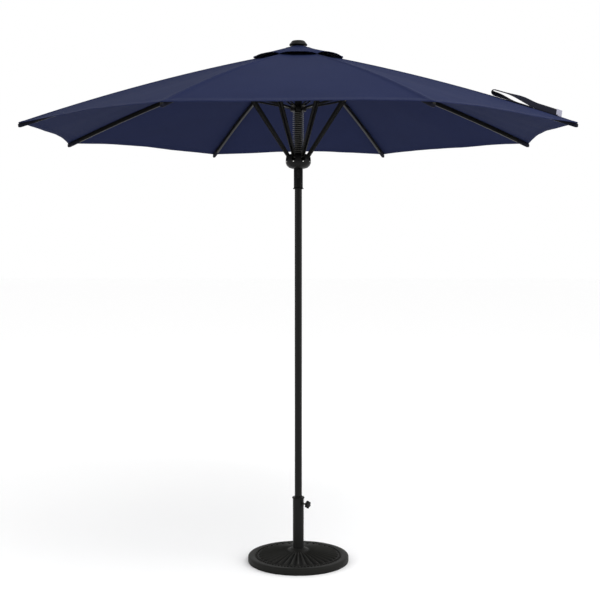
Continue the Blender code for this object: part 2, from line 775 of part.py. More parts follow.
def channel_mesh(name, length, lean):
    """Strut: a U channel, open on its outer side, with two cheeks past the web."""
    wide = STRUT_HALF_WIDTH
    thin = STRUT_CHEEK
    front = -STRUT_OUTSIDE
    stations = (
        (-STRUT_END, STRUT_INSIDE),
        (length - STRUT_WEB_CUT, STRUT_INSIDE),
        (length + STRUT_HEAD, STRUT_OUTSIDE),
    )
    bm = bmesh.new()
    grid = []
    for along, back in stations:
        row = []
        for side, depth in (
            (-wide, back),
            (-wide + thin, back),
            (wide - thin, back),
            (wide, back),
            (wide, front),
            (wide - thin, front),
            (wide - thin, back - thin),
            (-wide + thin, back - thin),
            (-wide + thin, front),
            (-wide, front),
        ):
            row.append(bm.verts.new((along, side, depth)))
        grid.append(row)
    foot, waist, head = grid
    bm.faces.new(foot)
    for i in range(len(foot)):
        j = (i + 1) % len(foot)
        bm.faces.new((foot[i], foot[j], waist[j], waist[i]))
    bm.faces.new((waist[1], waist[2], waist[6], waist[7]))
    for loop in ((0, 1, 7, 8, 9), (2, 3, 4, 5, 6)):
        for k, i in enumerate(loop):
            j = loop[(k + 1) % len(loop)]
            bm.faces.new((waist[i], waist[j], head[j], head[i]))
        bm.faces.new([head[i] for i in loop])
    mesh = finish_mesh(bm, name)
    hole = rod_mesh("strut_hole", (0, -0.02, 0), (0, 0.02, 0), PIN_HOLE_RADIUS)
    mesh = joined_mesh(name, mesh, [("DIFFERENCE", hole)])
    mesh.transform(Matrix.Rotation(-lean, 4, "Y"))
    return mesh


def build_struts(mats):
    """Eight struts from the runner to the ribs."""
    reach = strut_reach()
    strut = channel_mesh("strut", reach.length, math.atan2(reach.y, reach.x))
    for number, angle in enumerate(rib_angles(), 1):
        pivot = on_circle(RUNNER_PIVOT_RADIUS, angle, RUNNER_PIVOT_HEIGHT)
        add_object(f"strut_{number}", strut, mats["metal"], pivot, angle)


def build_runner(mats):
    """Round slotted runner with its wire ring, and the sleeve below it."""
    level = RUNNER_PIVOT_HEIGHT
    low = level - RUNNER_UNDER
    groove_in, groove_out = groove_radii(RUNNER_PIVOT_RADIUS)
    groove_floor = level - RING_WIRE_RADIUS - GAP * 2
    shoulder = max(groove_out + 0.0015, RUNNER_RADIUS - 0.0065)
    profile = [
        (BORE_RADIUS, low),
        (RUNNER_RADIUS * 0.50, low),
        (RUNNER_RADIUS * 0.72, low + 0.004),
        (RUNNER_RADIUS * 0.90, low + 0.014),
        (RUNNER_RADIUS * 0.985, low + 0.026),
        (RUNNER_RADIUS, low + 0.038),
        (RUNNER_RADIUS * 0.975, level),
        (RUNNER_RADIUS * 0.945, level + 0.006),
        (shoulder, level + 0.010),
        (groove_out, level + 0.010),
        (groove_out, groove_floor),
        (groove_in, groove_floor),
        (groove_in, level + 0.0155),
        (groove_in - 0.011, level + RUNNER_OVER),
        (BORE_RADIUS, level + RUNNER_OVER),
    ]
    swing = math.hypot(STRUT_END, STRUT_INSIDE) + RUN_GAP * 3
    slots = slot_cutters(
        RUNNER_PIVOT_RADIUS - swing,
        RUNNER_RADIUS + 0.010,
        STRUT_HALF_WIDTH + RUN_GAP,
        level - swing,
        level + 0.040,
    )
    ball = joined_mesh("runner_ball", turned_mesh("runner_ball", profile), slots, smooth=True)
    add_object("runner_ball", ball, mats["plastic"])
    ring = wire_ring_mesh("runner_ring", RUNNER_PIVOT_RADIUS, level)
    add_object("runner_ring", ring, mats["steel"])

    top = low - GAP
    foot = top - SLEEVE_LENGTH
    lip = SLEEVE_RADIUS + SLEEVE_LIP
    sleeve = turned_mesh(
        "runner_sleeve",
        [
            (BORE_RADIUS, foot),
            (lip - 0.001, foot),
            (lip, foot + 0.002),
            (SLEEVE_RADIUS, foot + SLEEVE_LIP_HEIGHT),
            (SLEEVE_RADIUS, top),
            (BORE_RADIUS, top),
        ],
    )
    height = level - BUTTON_BELOW_PIVOT
    window = rod_mesh(
        "button_window",
        (0, -BORE_RADIUS + 0.004, height),
        (0, -SLEEVE_RADIUS - 0.004, height),
        BUTTON_RADIUS + GAP,
        SMALL_SEGMENTS,
    )
    sleeve = joined_mesh("runner_sleeve", sleeve, [("DIFFERENCE", window)], smooth=True)
    add_object("runner_sleeve", sleeve, mats["plastic"])

    button_in = BORE_RADIUS + BUTTON_TRAVEL
    button_out = SLEEVE_RADIUS + BUTTON_PROUD
    button = turned_mesh(
        "release_button",
        [
            (0, button_in),
            (BUTTON_RADIUS, button_in),
            (BUTTON_RADIUS, button_out - 0.001),
            (BUTTON_RADIUS - 0.001, button_out),
            (0, button_out),
        ],
        SMALL_SEGMENTS,
    )
    button = add_object("release_button", button, mats["plastic"], (0, 0, height))
    button.rotation_euler = (math.pi / 2, 0, 0)


# ---- Slider, links and lift spring -------------------------------------------
def link_reach():
    """Vector from a link's slider pivot to its pivot on the strut, in the rib's plane."""
    along = strut_reach().normalized() * LINK_ON_STRUT
    head = Vector((RUNNER_PIVOT_RADIUS, RUNNER_PIVOT_HEIGHT)) + along
    return head - Vector((SLIDER_PIVOT_RADIUS, SLIDER_PIVOT_HEIGHT))


def link_mesh():
    """Link: a flat fork that straddles the strut, with a tongue for the slider."""
    reach = link_reach()
    tongue = LINK_TONGUE_WIDTH / 2
    wide = LINK_HALF_WIDTH
    inside = LINK_HALF_WIDTH - LINK_PRONG
    far = reach.length + LINK_END
    nose = LINK_DEPTH / 2
    half = [
        (-nose, tongue * 0.6),
        (-nose * 0.6, tongue),
        (LINK_NECK * 0.75, tongue),
        (LINK_NECK + 0.006, wide),
        (far, wide),
        (far, inside),
        (LINK_WEB_END, inside),
    ]
    outline = [(x, -y) for x, y in half] + [(x, y) for x, y in reversed(half)]
    mesh = outline_mesh("link", outline, -LINK_DEPTH / 2, LINK_DEPTH / 2)
    hole = rod_mesh("link_hole", (0, -0.02, 0), (0, 0.02, 0), PIN_HOLE_RADIUS)
    mesh = joined_mesh("link", mesh, [("DIFFERENCE", hole)])
    mesh.transform(Matrix.Rotation(-math.atan2(reach.y, reach.x), 4, "Y"))
    return mesh


def build_links(mats):
    """Eight links from the slider to the struts."""
    link = link_mesh()
    for number, angle in enumerate(rib_angles(), 1):
        pivot = on_circle(SLIDER_PIVOT_RADIUS, angle, SLIDER_PIVOT_HEIGHT)
        add_object(f"link_{number}", link, mats["metal"], pivot, angle)


def build_slider(mats):
    """Small slotted hub that the lift spring pushes up, with its wire ring."""
    level = SLIDER_PIVOT_HEIGHT
    groove_in, groove_out = groove_radii(SLIDER_PIVOT_RADIUS)
    groove_floor = level - RING_WIRE_RADIUS - GAP * 2
    profile = [
        (BORE_RADIUS, level - SLIDER_UNDER),
        (SLIDER_RADIUS - 0.003, level - SLIDER_UNDER),
        (SLIDER_RADIUS, level - SLIDER_UNDER + 0.003),
        (SLIDER_RADIUS, level + SLIDER_OVER - 0.004),
        (groove_out, level + SLIDER_OVER - 0.004),
        (groove_out, groove_floor),
        (groove_in, groove_floor),
        (groove_in, level + SLIDER_OVER),
        (BORE_RADIUS, level + SLIDER_OVER),
    ]
    # The tongue's square back corners sweep past its pivot as the link swings up.
    swing = math.hypot(LINK_DEPTH / 2, LINK_DEPTH / 2) + RUN_GAP * 2
    slots = slot_cutters(
        SLIDER_PIVOT_RADIUS - swing,
        SLIDER_RADIUS + 0.010,
        LINK_TONGUE_WIDTH / 2 + RUN_GAP,
        level - SLIDER_UNDER - 0.010,
        level + SLIDER_OVER + 0.010,
    )
    hub = joined_mesh("slider_hub", turned_mesh("slider_hub", profile), slots, smooth=True)
    add_object("slider_hub", hub, mats["plastic"])
    ring = wire_ring_mesh("slider_ring", SLIDER_PIVOT_RADIUS, level)
    add_object("slider_ring", ring, mats["steel"])


def build_spring(mats):
    """Lift spring round the pole, between the runner and the slider."""
    low = RUNNER_PIVOT_HEIGHT + RUNNER_OVER + GAP + SPRING_WIRE
    high = SLIDER_PIVOT_HEIGHT - SLIDER_UNDER - GAP - SPRING_WIRE
    steps = SPRING_TURNS * SPRING_STEPS
    sides = 5
    rings = []
    for i in range(steps + 1):
        share = i / steps
        angle = math.tau * SPRING_TURNS * share
        # The end turns lie flatter than the rest.
        height = low + (high - low) * (share - 0.03 * math.sin(math.tau * share))
        spoke = Vector(on_circle(1, angle, 0))
        centre = spoke * SPRING_RADIUS + Vector((0, 0, height))
        ring = []
        for k in range(sides):
            around = math.tau * k / sides
            across = spoke * SPRING_WIRE * math.cos(around)
            ring.append(centre + across + Vector((0, 0, SPRING_WIRE * math.sin(around))))
        rings.append(ring)
    add_object("lift_spring", loft_mesh("lift_spring", rings, smooth=True), mats["steel"])


def main():
    """Build the whole umbrella."""
    clear_scene()
    mats = make_materials()
    build_base(mats)
    build_clamp(mats)
    build_pole(mats)
    build_top_hub(mats)
    build_vent(mats)
    build_finial(mats)
    build_ribs(mats)
    build_strap(mats)
    build_runner(mats)
    build_struts(mats)
    build_slider(mats)
    build_links(mats)
    build_spring(mats)


main()
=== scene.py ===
"""Looks of the patio umbrella: cloth, seams, casting, tubes and studio, laid out as an add-on.

Every piece is made in metres in the frame's own coordinates, with its object at the origin.
"""
import json
import math

import bmesh
import bpy
from mathutils import Matrix, Vector, noise


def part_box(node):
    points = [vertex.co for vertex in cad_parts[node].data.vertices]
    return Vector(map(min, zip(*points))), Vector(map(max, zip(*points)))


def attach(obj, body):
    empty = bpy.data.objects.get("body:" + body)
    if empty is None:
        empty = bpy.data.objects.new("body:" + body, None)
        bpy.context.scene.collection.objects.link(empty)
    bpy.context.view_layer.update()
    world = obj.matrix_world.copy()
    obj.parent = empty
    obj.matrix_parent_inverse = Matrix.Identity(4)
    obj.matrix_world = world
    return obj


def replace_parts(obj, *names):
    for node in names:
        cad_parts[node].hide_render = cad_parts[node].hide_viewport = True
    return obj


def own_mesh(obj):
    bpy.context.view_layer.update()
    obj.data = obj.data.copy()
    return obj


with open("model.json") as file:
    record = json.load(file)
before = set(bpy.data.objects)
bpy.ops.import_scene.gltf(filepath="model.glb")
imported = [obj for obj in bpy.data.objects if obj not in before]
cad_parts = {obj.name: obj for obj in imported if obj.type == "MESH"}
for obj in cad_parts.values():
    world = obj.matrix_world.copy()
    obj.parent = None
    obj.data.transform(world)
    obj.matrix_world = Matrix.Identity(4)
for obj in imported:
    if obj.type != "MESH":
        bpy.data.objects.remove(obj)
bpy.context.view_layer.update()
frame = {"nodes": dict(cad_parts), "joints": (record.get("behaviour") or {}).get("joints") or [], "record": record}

bl_info = {
    "name": "Patio umbrella",
    "version": (1, 0, 0),
    "blender": (4, 5, 0),
    "location": "View3D > Sidebar > Umbrella",
    "description": "Builds the cloth, casting, hardware and studio of a patio umbrella",
    "category": "Add Mesh",
}

JOINTS = {joint["name"]: joint for joint in frame["joints"]}
BODY_OF = {
    node: body
    for body, members in frame["record"]["behaviour"]["bodies"].items()
    for node in members
}

# ---- Places read from the frame ----
RIB_COUNT = sum(name.startswith("rib_fold_") for name in JOINTS)
STEP = math.tau / RIB_COUNT
HUB_PIVOT = Vector(JOINTS["rib_fold_1"]["pos_m"])
RUNNER_PIVOT = Vector(JOINTS["strut_fold_1"]["pos_m"])
FIRST_ANGLE = math.atan2(HUB_PIVOT.y, HUB_PIVOT.x)
PIVOT_RADIUS = HUB_PIVOT.xy.length
PANEL_LOW, PANEL_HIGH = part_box("canopy_panel_1")
CANOPY_RADIUS = PANEL_HIGH.x / math.cos(FIRST_ANGLE)
RIM_HEIGHT = PANEL_LOW.z
BASE_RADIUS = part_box("base_plate")[1].x
RUNNER_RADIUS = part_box("runner_ball")[1].x
VENT_LOW_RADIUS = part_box("upper_pole")[1].x + 0.0018
VENT_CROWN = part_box("vent_cover")[1].z - 0.0015

# ---- The canopy's cut and the linkage, as the frame has them ----
RIB_BOW = 0.025
RIB_RISE = 0.012487
INNER_RADIUS = 0.075
HEM_SCALLOP = 0.028
GORE_SAG = 0.012
VENT_RADIUS = 0.235
VENT_LIFT = 0.014
STRUT_HEAD_OUT = 0.3014
LINK_HEAD_ALONG = 0.355

# ---- The cloth's own detail ----
KITE_COLUMNS = 14
HEM_CURL = 0.006
CLOTH_SLANT = 1.05
VENT_COLUMNS = 8
VENT_CORNER = 0.86
VENT_REACH = (0.38, 0.30, 0.32, 0.30, 0.22, 0.08, 0.36, 0.34)

# ---- The closing strap's places along its rib ----
STRAP_START = 0.965
STRAP_END = 1.262
STRAP_HALF = 0.018
STRAP_ROW = 0.0066


def on_circle(radius, angle, height):
    """A point at a radius, angle and height."""
    return Vector((radius * math.cos(angle), radius * math.sin(angle), height))


def rib_angle(number):
    """Angle of a rib round the pole; ribs count from 1."""
    return FIRST_ANGLE + STEP * (number - 1)


def from_rib(number, plan):
    """Turn a plan position beside the X axis to the same place beside a rib."""
    return Matrix.Rotation(rib_angle(number), 2) @ plan


def ribs():
    """Numbers of the ribs."""
    return range(1, RIB_COUNT + 1)


def canopy_height(radius):
    """Height of the cloth's underside over a rib."""
    span = CANOPY_RADIUS - PIVOT_RADIUS
    share = (radius - PIVOT_RADIUS) / span
    drop = HUB_PIVOT.z + RIB_RISE - RIM_HEIGHT
    return HUB_PIVOT.z + RIB_RISE - drop * share + 4 * RIB_BOW * share * (1 - share)


def canopy_slope(radius):
    """Slope of the cloth along a rib."""
    small = 0.001
    return (canopy_height(radius + small) - canopy_height(radius - small)) / (2 * small)


# ---- Properties ----
def length_setting(name, description, default):
    """A setting in metres."""
    return bpy.props.FloatProperty(name=name, description=description, default=default, unit="LENGTH")


def count_setting(name, description, default, least):
    """A setting that counts something."""
    return bpy.props.IntProperty(name=name, description=description, default=default, min=least)


def colour_setting(name, description, default):
    """A colour in linear light."""
    return bpy.props.FloatVectorProperty(
        name=name, description=description, default=default, subtype="COLOR", min=0, max=1
    )


class UmbrellaCloth(bpy.types.PropertyGroup):
    """Sizes and colours of the cloth."""

    colour: colour_setting("Cloth colour", "Navy of the canvas", (0.0102, 0.0139, 0.0415))
    webbing: colour_setting(
        "Webbing colour",
        "Near-black of the closing strap and the tip pockets",
        (0.0066, 0.0070, 0.0120),
    )
    thread: length_setting("Thread pitch", "Distance between two threads of the weave", 0.0011)
    thickness: length_setting("Thickness", "Thickness of one layer of canvas", 0.0011)
    hem: length_setting("Hem width", "Width of the folded hem", 0.022)
    seam: length_setting("Seam width", "Half the width of the felled seam over a rib", 0.0085)
    stitch: length_setting("Stitch pitch", "Distance between two stitches", 0.0055)
    ripple: length_setting("Ripple", "Height of the soft ripples in a gore", 0.0028)
    flutter: length_setting(
        "Vent lift", "How far the vent cover's hem can lift between its corners", 0.026
    )


class UmbrellaHardware(bpy.types.PropertyGroup):
    """Colours and sizes of the metal and plastic pieces."""

    coat: colour_setting("Powder coat", "Colour of the coated tubes", (0.0058, 0.0058, 0.0054))
    plastic: colour_setting("Plastic", "Colour of the moulded pieces", (0.0040, 0.0040, 0.0038))
    casting: colour_setting("Casting", "Colour of the base casting", (0.0056, 0.0056, 0.0050))
    edge: length_setting("Edge radius", "Radius on the edges of bars and brackets", 0.0009)
    wire: length_setting("Spring wire", "Radius of the lift spring's wire", 0.0017)
    turns: count_setting("Spring turns", "Turns of the lift spring", 20, 2)
    ridges: count_setting("Ridges", "Raised rays on top of the base", 36, 8)
    ridge_height: length_setting("Ridge height", "Height of a ray from hollow to top", 0.0140)


class UmbrellaStudio(bpy.types.PropertyGroup):
    """Camera and light."""

    distance: length_setting("Distance", "Camera's distance from the pole", 5.362)
    height: length_setting("Eye height", "Camera's height above the floor", 1.611)
    dip: bpy.props.FloatProperty(
        name="Dip", description="How far the camera looks down", default=0.055, subtype="ANGLE"
    )
    lens: bpy.props.FloatProperty(name="Lens", description="Focal length in mm", default=64.73)
    key: bpy.props.FloatProperty(
        name="Key light", description="Power of the light overhead", default=150.0, unit="POWER"
    )


# ---- Shader maths ----
class Value:
    """A socket that Python's operators work on."""

    def __init__(self, tree, socket):
        self.tree = tree
        self.socket = socket

    def maths(self, operation, *others, clamp=False):
        """Add one Math node."""
        node = self.tree.nodes.new("ShaderNodeMath")
        node.operation = operation
        node.use_clamp = clamp
        for place, operand in enumerate((self, *others)):
            if isinstance(operand, Value):
                self.tree.links.new(operand.socket, node.inputs[place])
            else:
                node.inputs[place].default_value = operand
        return Value(self.tree, node.outputs[0])

    def __add__(self, other):
        return self.maths("ADD", other)

    __radd__ = __add__

    def __sub__(self, other):
        return self.maths("SUBTRACT", other)

    def __rsub__(self, other):
        return self * -1 + other

    def __mul__(self, other):
        return self.maths("MULTIPLY", other)

    __rmul__ = __mul__

    def wave(self, pitch):
        """A sine that repeats once in each pitch."""
        return (self * (math.tau / pitch)).maths("SINE")

    def between(self, low, high):
        """0 below low, 1 above high and a straight ramp between."""
        return (self - low).maths("DIVIDE", high - low, clamp=True)


def add_node(tree, kind, settings=None, **inputs):
    """Add a node to a tree: its settings first, then its inputs' values or links."""
    made = tree.nodes.new(kind)
    for key, value in (settings or {}).items():
        setattr(made, key, value)
    for key, value in inputs.items():
        socket = made.inputs[key.replace("_", " ")]
        if isinstance(value, Value):
            value = value.socket
        if isinstance(value, bpy.types.NodeSocket):
            tree.links.new(value, socket)
        else:
            socket.default_value = value
    return made


class Finish:
    """Builds one procedural material."""

    def __init__(self, name, colour, roughness, metallic=0.0, **constants):
        self.material = bpy.data.materials.new(name)
        self.material.use_nodes = True
        self.tree = self.material.node_tree
        self.shader = self.tree.nodes["Principled BSDF"]
        self.shader.inputs["Base Color"].default_value = (*colour, 1)
        self.shader.inputs["Roughness"].default_value = roughness
        self.shader.inputs["Metallic"].default_value = metallic
        for socket, value in constants.items():
            self.shader.inputs[socket.replace("_", " ")].default_value = value
        self.colour = colour

    def node(self, kind, settings=None, **inputs):
        """Add a node to the material."""
        return add_node(self.tree, kind, settings, **inputs)

    def place(self):
        """Object coordinates."""
        return self.node("ShaderNodeTexCoord").outputs["Object"]

    def cloth_place(self):
        """The piece's own cloth coordinates, in metres, as two values."""
        uv = self.node("ShaderNodeUVMap", {"uv_map": "Cloth"}).outputs["UV"]
        parts = self.node("ShaderNodeSeparateXYZ", Vector=uv)
        return Value(self.tree, parts.outputs["X"]), Value(self.tree, parts.outputs["Y"])

    def grain(self, scale, detail, vector=None, roughness=0.5):
        """Noise between 0 and 1."""
        made = self.node(
            "ShaderNodeTexNoise",
            Vector=vector or self.place(),
            Scale=scale,
            Detail=detail,
            Roughness=roughness,
        )
        return Value(self.tree, made.outputs["Fac"])

    def stretched(self, scale):
        """Object coordinates stretched by a scale on each axis."""
        made = self.node("ShaderNodeMapping", Vector=self.place(), Scale=scale)
        return made.outputs["Vector"]

    def tint(self, factor, dark, light):
        """Base colour between dark and light shares of the finish's colour."""
        made = self.node("ShaderNodeMix", {"data_type": "RGBA"})
        self.tree.links.new(factor.socket, made.inputs["Factor"])
        for socket in made.inputs:
            if socket.type == "RGBA":
                share = dark if socket.name == "A" else light
                socket.default_value = [channel * share for channel in self.colour] + [1]
        output = next(socket for socket in made.outputs if socket.type == "RGBA")
        self.tree.links.new(output, self.shader.inputs["Base Color"])

    def rough(self, factor, low, high):
        """Roughness that follows a factor."""
        value = factor * (high - low) + low
        self.tree.links.new(value.socket, self.shader.inputs["Roughness"])

    def bump(self, height, distance, strength):
        """Bump from a height."""
        made = self.node("ShaderNodeBump", Strength=strength, Distance=distance, Height=height)
        self.tree.links.new(made.outputs["Normal"], self.shader.inputs["Normal"])


def make_canvas(cloth):
    """Plain-weave navy canvas with a soft slub and faint mottling."""
    finish = Finish(
        "navy_canvas",
        cloth.colour,
        0.82,
        Sheen_Weight=0.012,
        Sheen_Roughness=0.35,
        Sheen_Tint=(0.45, 0.62, 1.0, 1.0),
        Specular_IOR_Level=0.025,
    )
    across, along = finish.cloth_place()
    pitch = cloth.thread * 2
    weave = across.wave(pitch) * along.wave(pitch) * 0.5 + 0.5
    slub = finish.grain(240.0, 2.0)
    mottle = finish.grain(5.0, 4.0)
    height = weave * 0.6 + slub * 0.4
    finish.tint(mottle * 0.7 + slub * 0.3, 0.86, 1.14)
    finish.rough(slub, 0.74, 0.90)
    finish.bump(height, 0.00025, 0.35)
    return finish.material


def make_webbing(cloth):
    """Dark ribbed webbing of the closing strap and the tip pockets."""
    finish = Finish("dark_webbing", cloth.webbing, 0.72, Specular_IOR_Level=0.04)
    across, along = finish.cloth_place()
    height = along.wave(0.0024) * 0.35 + across.wave(0.0042) * 0.4 + 0.5
    finish.tint(height, 0.75, 1.35)
    finish.rough(height, 0.66, 0.80)
    finish.bump(height, 0.0004, 0.5)
    return finish.material


def make_hook_tape():
    """Light grey hook tape on the strap's end."""
    finish = Finish("grey_hook_tape", (0.20, 0.20, 0.25), 0.75)
    fuzz = finish.grain(900.0, 1.0)
    finish.tint(fuzz, 0.75, 1.2)
    finish.rough(fuzz, 0.68, 0.85)
    finish.bump(fuzz, 0.0006, 0.6)
    return finish.material


def make_thread(cloth):
    """Navy sewing thread, a shade lighter than the cloth."""
    finish = Finish("navy_thread", [channel * 1.5 for channel in cloth.colour], 0.62)
    twist = finish.grain(1500.0, 1.0)
    finish.tint(twist, 0.8, 1.2)
    finish.rough(twist, 0.55, 0.70)
    return finish.material


def make_coat(hardware):
    """Satin black powder coat with its fine orange peel and light handling marks."""
    finish = Finish("black_powder_coat", hardware.coat, 0.32, Specular_IOR_Level=0.11)
    peel = finish.grain(900.0, 2.0)
    marks = finish.grain(14.0, 5.0, finish.stretched((1.0, 1.0, 0.12)))
    finish.tint(marks, 0.80, 1.30)
    finish.rough(marks, 0.34, 0.50)
    finish.bump(peel, 0.00010, 0.30)
    return finish.material


def make_plastic(hardware):
    """Moulded black plastic with a spark-eroded grain."""
    finish = Finish("black_plastic", hardware.plastic, 0.32, Specular_IOR_Level=0.10)
    grain = finish.grain(1300.0, 2.0)
    dust = finish.grain(30.0, 4.0)
    finish.tint(dust, 0.75, 1.45)
    finish.rough(dust, 0.30, 0.48)
    finish.bump(grain, 0.00012, 0.35)
    return finish.material


def make_casting(hardware):
    """Coated casting: coarse sand grain under a satin coat, with a painted highlight on the rays' tops and painted
    shade in their hollows.
    """
    finish = Finish("cast_black", hardware.casting, 0.42, Specular_IOR_Level=0.09)
    sand = finish.grain(420.0, 4.0, roughness=0.65)
    cloudy = finish.grain(12.0, 4.0)
    relief = finish.node("ShaderNodeAttribute", {"attribute_name": "Relief"}).outputs["Fac"]
    low, high = -0.4 * hardware.ridge_height, 0.5 * hardware.ridge_height
    # Painted light: the Relief height lightens the rays' tops as a painted highlight and darkens the hollows
    # between them as painted shade, with some random cloudiness mixed in.
    ridge_highlight_and_shade = Value(finish.tree, relief).between(low, high) * 0.8 + cloudy * 0.2
    finish.tint(ridge_highlight_and_shade, 0.25, 3.20)
    finish.rough(cloudy * 0.5 + sand * 0.5, 0.42, 0.66)
    finish.bump(sand, 0.0007, 0.45)
    return finish.material


def make_steel():
    """Oiled spring steel with drawn lines along the wire's turns."""
    finish = Finish("dark_steel", (0.115, 0.115, 0.108), 0.36, 0.85)
    drawn = finish.grain(60.0, 3.0, finish.stretched((1.0, 1.0, 14.0)))
    finish.tint(drawn, 0.55, 1.30)
    finish.rough(drawn, 0.28, 0.46)
    finish.bump(drawn, 0.00008, 0.3)
    return finish.material


def make_zinc():
    """Bright zinc of the runner's screws."""
    finish = Finish("bright_zinc", (0.62, 0.62, 0.58), 0.30, 1.0)
    cloudy = finish.grain(400.0, 2.0)
    finish.tint(cloudy, 0.80, 1.15)
    finish.rough(cloudy, 0.24, 0.42)
    return finish.material


FINISHES = {}


def make_finishes(scene):
    """Every material, kept by its name."""
    cloth = scene.umbrella_cloth
    hardware = scene.umbrella_hardware
    FINISHES.update(
        navy_canvas=make_canvas(cloth),
        dark_webbing=make_webbing(cloth),
        hook_tape=make_hook_tape(),
        thread=make_thread(cloth),
        black_powder_coat=make_coat(hardware),
        black_plastic=make_plastic(hardware),
        cast_black=make_casting(hardware),
        dark_steel=make_steel(),
        bright_zinc=make_zinc(),
    )


# ---- Mesh helpers ----
def mesh_object(mesh, finish, body):
    """Put a finished mesh in the scene under its own name, riding on a body."""
    piece = bpy.data.objects.new(mesh.name, mesh)
    bpy.context.scene.collection.objects.link(piece)
    mesh.materials.clear()
    mesh.materials.append(FINISHES[finish])
    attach(piece, body)
    return piece


def closed_mesh(bm, name, sharp=40):
    """Turn a bmesh into smooth-shaded mesh data with its faces pointing out."""
    bmesh.ops.recalc_face_normals(bm, faces=bm.faces)
    mesh = bpy.data.meshes.new(name)
    bm.to_mesh(mesh)
    bm.free()
    mesh.shade_smooth()
    mesh.set_sharp_from_angle(angle=math.radians(sharp))
    return mesh


def two_layer_sheet(name, grid, lift_of):
    """A thin closed sheet from a grid of (point, place on the flat cloth).

    lift_of(i, j) gives how far its lower and its upper layer stand over a point.
    """
    bm = bmesh.new()
    uv = bm.loops.layers.uv.new("Cloth")
    layers = []
    places = {}
    for layer in (0, 1):
        rows = []
        for i, row in enumerate(grid):
            made = []
            for j, (point, place) in enumerate(row):
                vert = bm.verts.new(point + Vector((0, 0, lift_of(i, j)[layer])))
                places[vert] = place
                made.append(vert)
            rows.append(made)
        layers.append(rows)
    under, over = layers
    for rows in layers:
        for row, after in zip(rows, rows[1:]):
            for j in range(len(row) - 1):
                bm.faces.new((row[j], row[j + 1], after[j + 1], after[j]))
    for low, high in ((under[0], over[0]), (under[-1], over[-1])):
        for j in range(len(low) - 1):
            bm.faces.new((low[j], low[j + 1], high[j + 1], high[j]))
    for side in (0, -1):
        for i in range(len(under) - 1):
            bm.faces.new((under[i][side], under[i + 1][side], over[i + 1][side], over[i][side]))
    for face in bm.faces:
        for loop in face.loops:
            loop[uv].uv = places[loop.vert]
    return closed_mesh(bm, name, 55)


def turned_mesh(name, profile, segments, lift_of):
    """Turn a closed outline of (radius, height) points about Z; lift_of raises points."""
    bm = bmesh.new()
    raised = bm.verts.layers.float.new("Relief")
    columns = []
    for radius, height in profile:
        if radius == 0:
            columns.append([bm.verts.new((0, 0, height))])
            continue
        ring = []
        for i in range(segments):
            angle = math.tau * i / segments
            lift = lift_of(radius, height, angle)
            vert = bm.verts.new(on_circle(radius, angle, height + lift))
            vert[raised] = lift
            ring.append(vert)
        columns.append(ring)
    for k, low in enumerate(columns):
        high = columns[(k + 1) % len(columns)]
        if len(low) == 1 and len(high) == 1:
            continue
        for i in range(segments):
            j = (i + 1) % segments
            loop = (low[i % len(low)], low[j % len(low)], high[j % len(high)], high[i % len(high)])
            bm.faces.new(list(dict.fromkeys(loop)))
    return closed_mesh(bm, name)


def both_sides(columns):
    """(side, column) from one edge of a symmetric cloth to the other."""
    return [(1 if j >= 0 else -1, abs(j)) for j in range(-columns, columns + 1)]


# ---- Node trees ----
class Tree:
    """A Geometry Nodes tree with named inputs."""

    def __init__(self, name, **inputs):
        self.group = bpy.data.node_groups.new(name, "GeometryNodeTree")
        face = self.group.interface
        face.new_socket("Geometry", in_out="INPUT", socket_type="NodeSocketGeometry")
        self.names = {}
        for label, kind in inputs.items():
            socket = face.new_socket(label, in_out="INPUT", socket_type="NodeSocket" + kind)
            self.names[label] = socket.identifier
        face.new_socket("Geometry", in_out="OUTPUT", socket_type="NodeSocketGeometry")
        self.source = self.group.nodes.new("NodeGroupInput")
        self.sink = self.group.nodes.new("NodeGroupOutput")

    def add(self, kind, settings=None, **inputs):
        """Add a node to the tree."""
        return add_node(self.group, kind, settings, **inputs)

    def __getitem__(self, label):
        """A socket of the tree's own input."""
        return self.source.outputs[label]

    def close(self, geometry):
        """End in real geometry with the given material."""
        real = self.add("GeometryNodeRealizeInstances", Geometry=geometry)
        kind = "GeometryNodeSetMaterial"
        painted = self.add(kind, Geometry=real.outputs[0], Material=self["Material"])
        self.group.links.new(painted.outputs[0], self.sink.inputs["Geometry"])


def row_tree():
    """Small rounded studs, set along the edges of the source mesh."""
    tree = Tree("row_of_studs", Spacing="Float", Size="Vector", Rings="Int", Material="Material")
    curve = tree.add("GeometryNodeMeshToCurve", Mesh=tree["Geometry"])
    points = tree.add(
        "GeometryNodeCurveToPoints",
        {"mode": "LENGTH"},
        Curve=curve.outputs[0],
        Length=tree["Spacing"],
    )
    stud = tree.add("GeometryNodeMeshUVSphere", Segments=6, Rings=tree["Rings"], Radius=1.0)
    placed = tree.add(
        "GeometryNodeInstanceOnPoints",
        Points=points.outputs["Points"],
        Instance=stud.outputs["Mesh"],
        Rotation=points.outputs["Rotation"],
        Scale=tree["Size"],
    )
    tree.close(placed.outputs[0])
    return tree


def coil_tree():
    """A round wire wound into a coil about Z."""
    sizes = dict.fromkeys(("Turns", "Radius", "Length", "Wire"), "Float")
    tree = Tree("wound_coil", Foot="Vector", Material="Material", **sizes)
    spiral = tree.add(
        "GeometryNodeCurveSpiral",
        Resolution=32,
        Rotations=tree["Turns"],
        Start_Radius=tree["Radius"],
        End_Radius=tree["Radius"],
        Height=tree["Length"],
    )
    moved = tree.add("GeometryNodeTransform", Geometry=spiral.outputs[0], Translation=tree["Foot"])
    section = tree.add("GeometryNodeCurvePrimitiveCircle", Resolution=12, Radius=tree["Wire"])
    wire = tree.add(
        "GeometryNodeCurveToMesh",
        Curve=moved.outputs[0],
        Profile_Curve=section.outputs[0],
        Fill_Caps=True,
    )
    tree.close(wire.outputs[0])
    return tree


def plain_mesh(piece):
    """The mesh that an object's modifiers make."""
    depsgraph = bpy.context.evaluated_depsgraph_get()
    return bpy.data.meshes.new_from_object(piece.evaluated_get(depsgraph))


